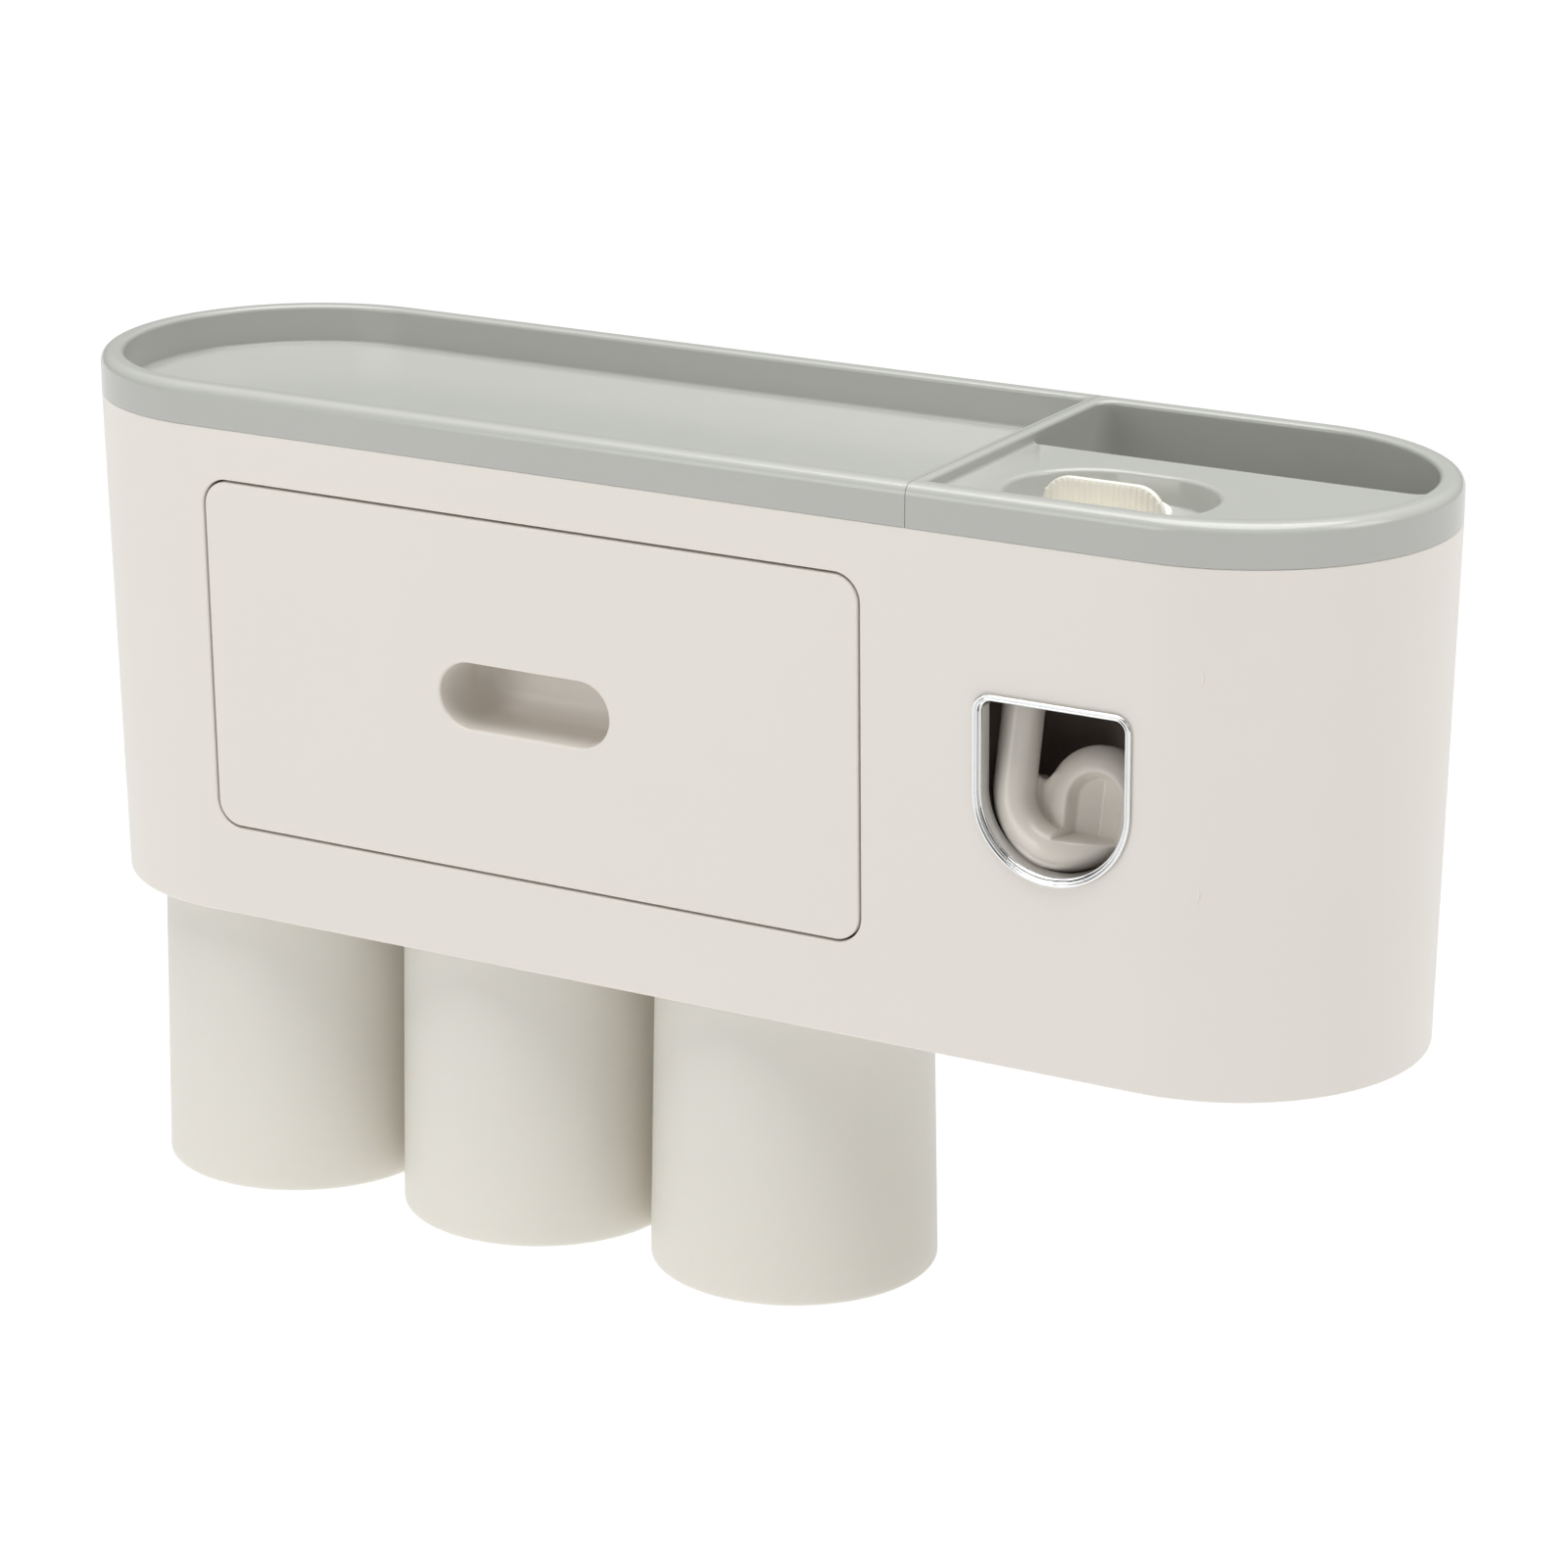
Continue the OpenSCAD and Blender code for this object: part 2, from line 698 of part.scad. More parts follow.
module drawer_box() color(milky) at_wall() {
  mid = (box_front_y + box_back_y) / 2;
  low = drawer_z - box_h / 2;
  difference() {
    union() {
      translate([drawer_x, mid, low]) linear_extrude(box_h) rounded(box_w, box_l, box_corner_r);
      translate([drawer_x, 0, drawer_z]) for (side = [0, 1]) mirror([side, 0, 0])
        box([box_w / 2 - bond, box_w / 2 + runner_w - bond],
          [box_front_y + box_corner_r, box_back_y - box_corner_r], [-runner_t / 2, runner_t / 2]);
    }
    translate([drawer_x, mid, low + box_t]) linear_extrude(box_h)
      rounded(box_w - 2 * box_t, box_l - 2 * box_t, box_corner_r - box_t);
    prism_y(box_front_y - over, box_front_y + box_t + over) translate([drawer_x, drawer_z])
      round_slot(pull_w + 2 * pull_wall + 2 * fit_gap, pull_h + 2 * pull_wall + 2 * fit_gap);
    for (place = peg_places) translate([place[0], box_front_y + box_t + over, place[1]]) rotate([90, 0, 0])
      cylinder(h = box_t + 2 * over, r = peg_r + run_gap);
  }
}

// The trays' shared outline: a lip inside the shell, then the rim with its rounded upper edge
tray_outline = concat(
  [[lip_r, body_h - lip_h], [lip_r, body_h], [end_r, body_h]],
  arc(end_r - edge_r, rim_top - edge_r, edge_r, 0, 90, edge_steps)
);
// The dish inside the rim, from its floor up
function dish_outline(floor_z) = concat(
  arc(inner_r - floor_fillet, floor_z + floor_fillet, floor_fillet, -90, 0, edge_steps),
  arc(inner_r + edge_r, rim_top - edge_r, edge_r, 180, 90, edge_steps),
  [[inner_r + edge_r, rim_top + over]]
);

// One side of the seam; the sign tells which
module tray_side(side, gap = seam_gap / 2) {
  translate([seam_x + side * gap, -body_d - over, 0]) mirror([side > 0 ? 0 : 1, 0, 0])
    cube([body_l, body_d + 2 * over, 2 * body_h]);
}

// The dish's end at the divider, with the divider's rounded edge; X runs away from the seam
module dish_end(side, wall_w, floor_z) {
  translate([seam_x, over, 0]) mirror([side > 0 ? 0 : 1, 0, 0]) rotate([90, 0, 0])
    linear_extrude(body_d + 2 * over) polygon(concat(
      [[body_l, floor_z], [wall_w, floor_z]],
      arc(wall_w - divider_r, rim_top - divider_r, divider_r, 0, 90, edge_steps),
      [[wall_w - divider_r, rim_top + over], [body_l, rim_top + over]]
    ));
}

module left_tray() color(grey_green) at_wall() difference() {
  intersection() { stadium(tray_outline); tray_side(-1); }
  intersection() { stadium(dish_outline(tray_floor_z)); dish_end(-1, divider_left_w, tray_floor_z); }
  intersection() {
    stadium([[lip_r - lip_t, body_h - lip_h - over], [lip_r - lip_t, tray_floor_z - tray_t]]);
    tray_side(-1, lip_t);
  }
}

// The pocket behind the platform, grown by its wall for the outside
module pocket_space(grow, low, high) intersection() {
  stadium([[inner_r + grow, low], [inner_r + grow, high]]);
  box([seam_x + divider_right_w - grow, body_l], [pocket_front_y - grow, 0], [low, high]);
}

// Rounds the pocket's upright corners: one against the divider, one where the front meets the end
module pocket_corners(low, high) translate([0, 0, low]) linear_extrude(high - low) {
  left = seam_x + divider_right_w;
  difference() {
    translate([left - bond, -rim_w - pocket_corner_r]) square(pocket_corner_r + bond);
    translate([left + pocket_corner_r, -rim_w - pocket_corner_r]) circle(pocket_corner_r);
  }
  centre_y = pocket_front_y + pocket_corner_r;
  reach = inner_r - pocket_corner_r;
  centre_x = axis_x + sqrt(reach * reach - (centre_y - mid_y) * (centre_y - mid_y));
  toward = [(centre_x - axis_x) / reach, (centre_y - mid_y) / reach];
  difference() {
    polygon([
      [centre_x, pocket_front_y - bond],
      [axis_x + inner_r + bond, pocket_front_y - bond],
      [axis_x + (inner_r + bond) * toward[0], mid_y + (inner_r + bond) * toward[1]],
      [centre_x, centre_y]
    ]);
    translate([centre_x, centre_y]) circle(pocket_corner_r);
  }
}

// The round-ended well in the platform, with a rounded upper edge
module well_space() stadium(concat(
  arc(well_r - well_taper - floor_fillet, well_floor_z + floor_fillet, floor_fillet, -90, 0, edge_steps),
  arc(well_r + well_edge_r, platform_z - well_edge_r, well_edge_r, 180, 90, edge_steps),
  [[well_r + well_edge_r, platform_z + over]]
), well_half, [well_x, well_y]);

module right_tray() color(grey_green) at_wall() difference() {
  union() {
    difference() {
      intersection() { stadium(tray_outline); tray_side(1); }
      intersection() {
        stadium([[lip_r - lip_t, body_h - lip_h - over], [lip_r - lip_t, platform_z - tray_t]]);
        tray_side(1, divider_right_w);
      }
    }
    pocket_space(tray_t, pocket_floor_z - tray_t, platform_z - bond);
    stadium([[well_r + tray_t, well_floor_z - tray_t], [well_r + tray_t, platform_z - bond]],
      well_half, [well_x, well_y]);
  }
  intersection() { stadium(dish_outline(platform_z)); dish_end(1, divider_right_w, platform_z); }
  difference() {
    pocket_space(0, pocket_floor_z, platform_z + over);
    pocket_corners(pocket_floor_z - over, platform_z + over);
  }
  well_space();
  post(dispenser_x, well_y, well_floor_z - tray_t - over, well_floor_z + over, socket_r);
}

// The trim's section: a sleeve through the shell and a rounded lip on its face
trim_section = concat(
  [[0, -sleeve_l], [sleeve_t, -sleeve_l], [sleeve_t, 0], [trim_w, 0]],
  arc(trim_w - trim_proud / 2, trim_proud / 2, trim_proud / 2, 0, 90, edge_steps),
  arc(trim_proud / 2, trim_proud / 2, trim_proud / 2, 90, 180, edge_steps)
);

module window_trim() color(chrome_c) at_wall() on_front(dispenser_x, window_z)
  d_sweep(opening_r, window_top - trim_w, opening_corner_r) polygon(trim_section);

// Local origin on the lever's pivot, leaning as the lever does at rest
module at_pivot() translate([dispenser_x, pivot_y, pivot_z]) rotate([-lever_lean, 0, 0]) children();

module rod_x(half, r) rotate([0, 90, 0]) cylinder(h = 2 * half, r = r, center = true);

module dispenser_housing() color(dark) at_wall() translate([dispenser_x, 0, 0]) difference() {
  half = housing_w / 2;
  union() {
    for (side = [0, 1]) mirror([side, 0, 0]) {
      box([half - housing_t, half], [housing_front_y, chamber_back_y + housing_t], [housing_low, deck_top]);
      box([half - housing_t, half], [housing_front_y, housing_back_y], [wing_low, deck_top]);
      for (z = lug_heights)
        box([half - bond, half + lug_w], [lug_y, lug_y + lug_t], [z - lug_h / 2, z + lug_h / 2]);
    }
    box([-half, half], [housing_front_y, chamber_back_y + housing_t],
      [housing_low, housing_low + housing_t]);
    box([-half, half], [chamber_back_y, chamber_back_y + housing_t], [housing_low, chamber_top]);
    box([-half, half], [housing_front_y, housing_back_y], [housing_top, deck_top]);
  }
  box([-ear_w / 2 - fit_gap, ear_w / 2 + fit_gap],
    [nozzle_y - column_r - fit_gap, pivot_y + ear_half_l + fit_gap],
    [housing_top - over, deck_top + over]);
  post(0, pump_y, housing_top - over, deck_top + over, cylinder_r + fit_gap);
  translate([0, pivot_y, pivot_z]) rod_x(half + over, pin_r + run_gap);
  for (side = [-1, 1]) {
    post(side * tab_x, tab_y, housing_top - over, deck_top + over, pilot_r);
    for (z = lug_heights) translate([side * lug_x, lug_y + lug_t + over, z]) rotate([90, 0, 0])
      cylinder(h = lug_t + 2 * over, r = clear_r);
  }
}

module housing_screws() color(steel) at_wall() for (side = [-1, 1], z = lug_heights)
  translate([dispenser_x + side * lug_x, lug_y + lug_t, z]) rotate([90, 0, 0]) {
    cylinder(h = housing_screw_l, r = screw_r);
    translate([0, 0, -head_t]) cylinder(h = head_t, r = head_r);
  }

module pump_body() color(milky) at_wall() translate([dispenser_x, 0, 0]) difference() {
  union() {
    post(0, well_y, deck_top, pump_top, socket_r + socket_wall);
    box([-gallery_w / 2, gallery_w / 2], [nozzle_y, pump_y], [deck_top, deck_top + gallery_h]);
    post(0, pump_y, cylinder_low, pump_top, cylinder_r);
    post(0, nozzle_y, column_low, deck_top + gallery_h, column_r);
    box([-ear_w / 2, ear_w / 2], [pivot_y - ear_half_l, pivot_y + ear_half_l], [pivot_z, deck_top + bond]);
    translate([0, pivot_y, pivot_z]) rod_x(ear_w / 2, ear_half_l);
    box([-tab_w / 2, tab_w / 2], [tab_y - tab_l / 2, tab_y + tab_l / 2], [deck_top, deck_top + tab_t]);
  }
  post(0, well_y, seal_low, pump_top + over, socket_r);
  post(0, well_y, seal_low - valve_t, seal_low + over, valve_r + disc_gap);
  post(0, well_y, gallery_z, seal_low, gallery_r);
  translate([0, pump_y, gallery_z]) rotate([90, 0, 0]) cylinder(h = pump_y - nozzle_y, r = gallery_r);
  post(0, nozzle_y, column_low, gallery_z, gallery_r);
  post(0, nozzle_y, column_low - over, column_low + nozzle_socket_l, nozzle_socket_r);
  post(0, pump_y, cylinder_low - over, pump_top, pump_r);
  post(0, pump_y, pump_top - cap_t, pump_top + over, pump_r + cap_lip);
  translate([0, pivot_y, pivot_z]) rod_x(ear_w, pin_r + run_gap);
  for (side = [-1, 1]) post(side * tab_x, tab_y, deck_top - over, deck_top + tab_t + over, clear_r);
}

module pump_cap() color(milky) at_wall() {
  post(dispenser_x, pump_y, pump_top - cap_t, pump_top, pump_r + cap_lip - disc_gap);
  post(dispenser_x, pump_y, pump_top - cap_t - spigot_l, pump_top - cap_t + bond, pump_r - disc_gap);
}

module pump_screws() color(steel) at_wall() for (side = [-1, 1]) {
  post(dispenser_x + side * tab_x, tab_y, deck_top - deck_t, deck_top + tab_t + bond, screw_r);
  post(dispenser_x + side * tab_x, tab_y, deck_top + tab_t, deck_top + tab_t + head_t, head_r);
}

module lever_pin() color(steel) at_wall()
  translate([dispenser_x, pivot_y, pivot_z]) rod_x(housing_w / 2, pin_r);

module inlet_seal() color(rubber) at_wall() difference() {
  post(dispenser_x, well_y, seal_low, well_floor_z - seat_gap, socket_r - socket_gap);
  post(dispenser_x, well_y, seal_low - over, well_floor_z + over, seal_bore_r);
}

module inlet_valve() color(rubber) at_wall() difference() {
  post(dispenser_x, well_y, seal_low - valve_t, seal_low, valve_r);
  translate([dispenser_x, well_y, seal_low - valve_t])
    box([-valve_r / 2, valve_r / 2], [-valve_slit / 2, valve_slit / 2], [-over, valve_t + over]);
}

module outlet_valve() color(rubber) at_wall()
  translate([dispenser_x, nozzle_y, column_low + nozzle_plug_l]) {
  cylinder(h = nozzle_socket_l - nozzle_plug_l, r = nozzle_socket_r - disc_gap);
  translate([0, 0, -bill_l]) cylinder(h = bill_l + bond, r1 = bill_tip_r, r2 = bill_r);
}

module nozzle() color(milky) at_wall() difference() {
  union() {
    post(dispenser_x, nozzle_y, nozzle_tip_z, column_low, nozzle_tip_r);
    post(dispenser_x, nozzle_y, column_low - nozzle_flange_t, column_low, nozzle_flange_r);
    post(dispenser_x, nozzle_y, column_low - bond, column_low + nozzle_plug_l, nozzle_socket_r - disc_gap);
  }
  post(dispenser_x, nozzle_y, nozzle_tip_z - over, column_low + body_h, nozzle_bore_r);
}

// A spring's wire, swept along its helix; the ends lie flat against their seats
spring_low = piston_low + piston_h + spring_wire_r;
spring_rise = pump_top - cap_t - spigot_l - spring_wire_r - spring_low;
function spring_at(i, k) = i * spring_sides + k % spring_sides;
module return_spring() color(steel) at_wall() {
  rings = spring_turns * spring_steps;
  points = [for (i = [0:rings], k = [0:spring_sides - 1])
    let (turn = 360 * i / spring_steps, across = 360 * k / spring_sides,
      r = spring_r + spring_wire_r * cos(across))
    [r * cos(turn), r * sin(turn), spring_rise * i / rings + spring_wire_r * sin(across)]];
  sides = [for (i = [0:rings - 1], k = [0:spring_sides - 1], half = [0, 1])
    half == 0 ? [spring_at(i, k), spring_at(i, k + 1), spring_at(i + 1, k + 1)]
      : [spring_at(i, k), spring_at(i + 1, k + 1), spring_at(i + 1, k)]];
  ends = [[for (k = [spring_sides - 1:-1:0]) spring_at(0, k)],
    [for (k = [0:spring_sides - 1]) spring_at(rings, k)]];
  translate([dispenser_x, pump_y, spring_low]) polyhedron(points, concat(sides, ends));
}

module push_lever() color(white) at_wall() {
  section = concat(
    arc(0, limb_w / 2 - limb_t / 2, limb_w / 2, 180, 360, 2 * edge_steps),
    [[limb_w / 2, limb_t / 2], [-limb_w / 2, limb_t / 2]]
  );
  inside = limb_mid_r - limb_w / 2;
  at_pivot() difference() {
    union() {
      translate([-limb_mid_r, 0, -bend_z]) linear_extrude(bend_z) polygon(section);
      difference() {
        translate([0, 0, -bend_z]) rotate([-90, 0, 0])
          rotate_extrude(angle = 180) translate([limb_mid_r, 0]) polygon(section);
        box([pad_x, bend_r + over], [-limb_t, limb_t], [-ledge_z, over - bend_z]);
      }
      for (side = [0, 1]) mirror([side, 0, 0]) {
        translate([limb_mid_r, 0, 0]) rod_x(limb_w / 2, hub_r);
        box([inside, inside + arm_t], [0, arm_l], [-arm_h / 2, arm_h / 2]);
      }
      translate([0, arm_l, 0]) rod_x(inside + arm_t, bridge_r);
      translate([pad_x, pad_y + pad_t, -pad_z]) rotate([90, 0, 0]) cylinder(h = pad_t, r = pad_r);
    }
    rod_x(bend_r + over, pin_r + run_gap);
    translate([pad_x, pad_y + pad_dish_depth, -pad_z]) rotate([90, 0, 0])
      linear_extrude(limb_t + pad_dish_depth) {
        circle(pad_dish_r);
        translate([-pad_dish_r, -pad_dish_h]) square([2 * pad_dish_r, pad_dish_h]);
      }
  }
}

module pump_plunger() color(milky) at_wall() translate([dispenser_x, pump_y, 0]) difference() {
  foot_z = bridge_z + bridge_r + seat_gap;
  union() {
    post(0, 0, foot_z, foot_z + foot_t, foot_r);
    post(0, 0, foot_z, piston_low + bond, rod_r);
    post(0, 0, piston_low, piston_low + piston_h, pump_r - run_gap);
  }
  translate([0, 0, piston_low + piston_h / 2]) rotate_extrude()
    translate([pump_r - run_gap - 2 * piston_ring_r, -piston_ring_r]) square([pump_r, 2 * piston_ring_r]);
}

module plunger_ring() color(rubber) at_wall() translate([dispenser_x, pump_y, piston_low + piston_h / 2])
  rotate_extrude() translate([pump_r - run_gap - piston_ring_r, 0]) circle(piston_ring_r);

module fin_outline(border = 0) {
  half = fin_w / 2 - border;
  r = fin_corner_r - border;
  top = fin_h - border;
  polygon(concat([[-half, 0], [half, 0]],
    arc(half - r, top - r, r, 0, 90, edge_steps), arc(r - half, top - r, r, 90, 180, edge_steps)));
}

module inlet_cap() color(ivory) at_wall() translate([dispenser_x, well_y, plug_z]) {
  front = -fin_ahead - fin_t / 2;
  rib_span = fin_w - 2 * rib_border - 2 * rib_r;
  rotate_extrude() polygon(concat(
    [[0, 0], [flange_r, 0]],
    arc(flange_r - flange_edge_r, flange_t - flange_edge_r, flange_edge_r, 0, 90, edge_steps),
    [[0, flange_t]]
  ));
  prism_y(front, front + fin_t) fin_outline();
  intersection() {
    prism_y(front - fin_t, front + bond) fin_outline(rib_border);
    for (i = [0:rib_count - 1])
      post(-rib_span / 2 + rib_span * i / (rib_count - 1), front + rib_r / 3, 0, fin_h, rib_r);
  }
  difference() {
    post(0, 0, -stem_l, bond, stem_r);
    translate([0, 0, ring_z - plug_z]) rotate_extrude()
      translate([stem_r - ring_r, -ring_r]) square([stem_r, 2 * ring_r]);
  }
}

module cap_ring() color(rubber) at_wall() translate([dispenser_x, well_y, ring_z])
  rotate_extrude() translate([stem_r, 0]) circle(ring_r);

module cup(i) color(cream) at_wall() translate([cup_x(i), -cup_y, 0]) difference() {
  floor_z = cup_top - cup_base_t;
  inner_base_r = cup_base_r - cup_t;
  rotate_extrude() polygon(concat(
    [[0, cup_top]],
    arc(cup_base_r - cup_base_edge_r, cup_top - cup_base_edge_r, cup_base_edge_r, 90, 0, edge_steps),
    arc(cup_mouth_r - cup_lip_r, cup_mouth_z + cup_lip_r, cup_lip_r, 0, -180, 2 * edge_steps),
    arc(inner_base_r - cup_inner_edge_r, floor_z - cup_inner_edge_r, cup_inner_edge_r, 0, 90, edge_steps),
    [[0, floor_z]]
  ));
  post(0, 0, cup_top - disc_t, cup_top + over, disc_r + disc_gap);
}

module cup_disc(i) color(steel) at_wall() post(cup_x(i), -cup_y, cup_top - disc_t, cup_top, disc_r);

module cup_left() cup(0);
module cup_middle() cup(1);
module cup_right() cup(2);
module disc_left() cup_disc(0);
module disc_middle() cup_disc(1);
module disc_right() cup_disc(2);

module seat_magnets() color(steel) at_wall() for (i = [0:2])
  post(cup_x(i), -cup_y, plate_z + magnet_skin, plate_z + magnet_skin + magnet_t, magnet_r);

module magnet_caps() color(white) at_wall() for (i = [0:2]) {
  low = plate_z + magnet_skin + magnet_t;
  post(cup_x(i), -cup_y, low, low + magnet_cap_t, magnet_r);
}

wall_brackets();
bracket_pads();
outer_shell();
bottom_plate();
bottom_screws();
brush_rack();
drawer_guides();
left_tray();
right_tray();
window_trim();
dispenser_housing();
housing_screws();
pump_body();
pump_cap();
pump_screws();
lever_pin();
inlet_seal();
inlet_valve();
outlet_valve();
nozzle();
return_spring();
seat_magnets();
magnet_caps();
drawer_front();
drawer_box();
push_lever();
pump_plunger();
plunger_ring();
inlet_cap();
cap_ring();
cup_left();
cup_middle();
cup_right();
disc_left();
disc_middle();
disc_right();
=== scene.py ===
import json
import math

import bmesh
import bpy
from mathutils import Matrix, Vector


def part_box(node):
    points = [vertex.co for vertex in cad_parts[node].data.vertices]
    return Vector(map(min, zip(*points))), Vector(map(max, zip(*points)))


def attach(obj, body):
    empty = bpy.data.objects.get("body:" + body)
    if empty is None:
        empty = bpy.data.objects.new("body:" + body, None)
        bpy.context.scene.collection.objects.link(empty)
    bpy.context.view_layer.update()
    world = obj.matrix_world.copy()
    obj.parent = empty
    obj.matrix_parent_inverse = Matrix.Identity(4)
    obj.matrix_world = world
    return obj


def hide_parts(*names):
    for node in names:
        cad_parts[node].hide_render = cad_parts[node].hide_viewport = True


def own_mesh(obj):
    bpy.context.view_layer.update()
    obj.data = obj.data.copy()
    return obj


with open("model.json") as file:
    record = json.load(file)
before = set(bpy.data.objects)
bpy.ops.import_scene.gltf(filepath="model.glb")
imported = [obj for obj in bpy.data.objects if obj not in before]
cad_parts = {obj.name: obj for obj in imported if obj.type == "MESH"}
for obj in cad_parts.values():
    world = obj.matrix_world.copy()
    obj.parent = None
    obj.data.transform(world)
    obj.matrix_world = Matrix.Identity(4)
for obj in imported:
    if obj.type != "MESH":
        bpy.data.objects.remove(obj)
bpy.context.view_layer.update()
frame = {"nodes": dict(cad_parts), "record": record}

# Everything is drawn in millimetres and made in metres; points closer than WELD are one
MM = 0.001
WELD = 0.002


def span(node, axis):
    """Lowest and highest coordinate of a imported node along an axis."""
    low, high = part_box(node)
    return low[axis] / MM, high[axis] / MM


def middle(node, axis):
    return sum(span(node, axis)) / 2


def length(node, axis):
    low, high = span(node, axis)
    return high - low


# Body
SHELL_LOW, SHELL_TOP = span("outer_shell", 2)
END_R = length("outer_shell", 1) / 2
AXIS_X = length("outer_shell", 0) / 2 - END_R
MID_Y = -END_R
DRAFT = math.radians(1.06)
SLOPE = math.tan(DRAFT)
WALL = 2.2
BOTTOM_EDGE, TOP_EDGE, HOLE_EDGE = 0.8, 0.45, 0.55

# How far past the end axes the round ends stop and the flat back starts
ROUND_STOP, FLAT_START = 2.5, 1.6

# Inside the body: what is fused to the wall reaches BOND into it
BOND = 0.4
PLATE_TOP = SHELL_LOW + 10.2
LEDGE_W, LEDGE_H = 1.6, 2.0
BOSS_R, BOSS_H = 3.6, 14.0
PARTITION_T, PARTITION_OFFSET = 2.0, 89.0
PARTITION_LOW, PARTITION_HIGH = SHELL_LOW + 14.2, SHELL_TOP - 7
HOUSING_BOSS_X, HOUSING_BOSS_R, HOUSING_BOSS_L = 31.0, 3.2, 8.0
HOUSING_BOSS_Z = (-13.0, 35.0)

# Recesses for the wall brackets
BRACKET_X = 100.0
RECESS_HALF = 23.0
RECESS_LOW, RECESS_HIGH = -33.5, 23.0
RECESS_Y = -3.0
RECESS_WALL = 2.0
HUMP_Y = RECESS_Y - RECESS_WALL
HUMP_HALF = 23.4
SLOT_HALF = 10.3
SLOT_LOW, SLOT_HIGH = -1.8, 12.2

# Drawer
DRAWER_X, DRAWER_Z = middle("drawer_front", 0), middle("drawer_front", 2)
DRAWER_W, DRAWER_H = length("drawer_front", 0), length("drawer_front", 2)
DRAWER_CORNER = 6.0
DRAWER_GAP = 0.5
PULL_W, PULL_H, PULL_DEPTH = 45.0, 15.7, 20.0
PULL_WALL = 1.8
PULL_LIP = 0.7
PULL_FILLET = 5.0
DRAWER_PEG_X, DRAWER_PEG_Z, DRAWER_PEG_R, DRAWER_PEG_SEAT = 70.0, 24.9, 2.5, 2.0

# Trays
RIM_TOP = span("left_tray", 2)[1]
SEAM_LEFT, SEAM_RIGHT = span("left_tray", 0)[1], span("right_tray", 0)[0]
SEAM_X, SEAM_HALF = (SEAM_LEFT + SEAM_RIGHT) / 2, (SEAM_RIGHT - SEAM_LEFT) / 2
RIM_W = 5.5
RIM_EDGE, RIM_OUTER = 1.1, 2.6
DISH_R = END_R - RIM_W
DIVIDER_LEFT, DIVIDER_RIGHT = 1.8, 2.2
DIVIDER_EDGE = 1.0
DISH_CORNER = 1.6
LEFT_SPLIT = 20.0
TRAY_FLOOR = RIM_TOP - 9.3
PLATFORM = RIM_TOP - 3.0
TRAY_T = 2.0
FILLET = 0.8
LIP_R, LIP_T, LIP_H, LIP_END = 45.457, 1.8, 5.0, 0.9
POCKET_FRONT = -39.5
POCKET_CORNER = 4.5
POCKET_EDGE = 0.4
POCKET_T = 1.0
POCKET_FLOOR = span("right_tray", 2)[0] + TRAY_T

# The pocket's front edge: where its points start, how many there are, how full the first is
EDGE_START, EDGE_POINTS, EDGE_SHARE = 1.2, 8, 0.4

WELL = (102.3, -70.5)
WELL_HALF, WELL_R = 5.0, 18.5
WELL_FLOOR = PLATFORM - 6.2
WELL_TAPER = 1.2
WELL_EDGE = 1.2
SOCKET = (101.4, -70.5, 9.1)

# Window
WINDOW_X = middle("window_trim", 0)
WINDOW_Z = 2.8
OPENING_R = 16.95
OPENING_TOP = 20.35
OPENING_CORNER = 2.15
TRIM_W, TRIM_PROUD = 1.85, 0.9
SLEEVE_T, SLEEVE_L = 1.0, 4.0
TRIM_GAP = 0.1

# The window's straight sides get extra points at these shares of their length
STRAIGHT = 5.0
STRAIGHT_SHARES = (0.02, 0.3, 0.6, 0.98)

# The trim's section: how far the window's outline grows, and the height over the front.
# A bead has its inner and outer side, its top and its edge's radius.
TRIM_STEP = ((0, -SLEEVE_L), (0, -0.55), (0.1, -0.4), (0.42, -0.4), (0.5, -0.32))
INNER_BEAD = (0.5, 1.02, TRIM_PROUD - 0.12, 0.22)
TRIM_GROOVE = (1.06, TRIM_PROUD - 0.3)
OUTER_BEAD = (1.1, TRIM_W, TRIM_PROUD, 0.3)
TRIM_FOOT = ((TRIM_W, 0.4), (TRIM_W - 0.3, 0.3), (TRIM_W - 0.3, 0.03), (SLEEVE_T, 0.03),
             (SLEEVE_T, -SLEEVE_L))

# Lever, in its own frame, whose origin is the pin's middle. First the hook: its axis, its
# limb's heights and the points of its turn, with those over which it sinks and thins.
LEVER_LEAN = 12.3
HOOK_X, HOOK_Z, HOOK_R, HOOK_Y = -0.9, -28.7, 12.7, -0.5
LIMB_R = 4.75
LIMB_HEIGHTS = (0.0, -6, -12, -18, -24)
HOOK_POINTS, HOOK_STEP = 43, 3.5
SINK_START, SINK_POINTS, SINK, SINK_THIN = 20, 21, 4.6, 0.9

# The pad: its middle and radius, its thickness, its crown and the edge behind
PAD_X, PAD_Z, PAD_R = 4.4, -30.65, 12.85
PAD_Y, PAD_T = 1.5, 6.2
PAD_SHARES = (0.02, 0.3, 0.5, 0.6, 0.7, 0.78, 0.85, 0.9, 0.94, 0.97, 0.99, 1)
CROWN, CROWN_FALL, CROWN_POWER = 0.7, 3.9, 6
PAD_BACK_EDGE, PAD_BACK_IN, PAD_CENTRE = 1.0, 0.8, 0.3

# The web between hook and pad, and the round crotch above it, from the limb's side
WEB_TOP = -26.9
WEB_X, WEB_DROP, WEB_RISE, WEB_SHOULDER = 4.0, 9.0, 2.0, 0.6
WEB_FRONT, WEB_BACK = 0.7, 5.2
WEB_STEPS, WEB_POINTS = 24, 20
CROTCH = ((2.6, 2.0), (1.9, 1.0), (1.4, 0.3), (0.9, -0.1), (0.4, 0.0), (-0.1, 0.35), (-0.6, 0.6))

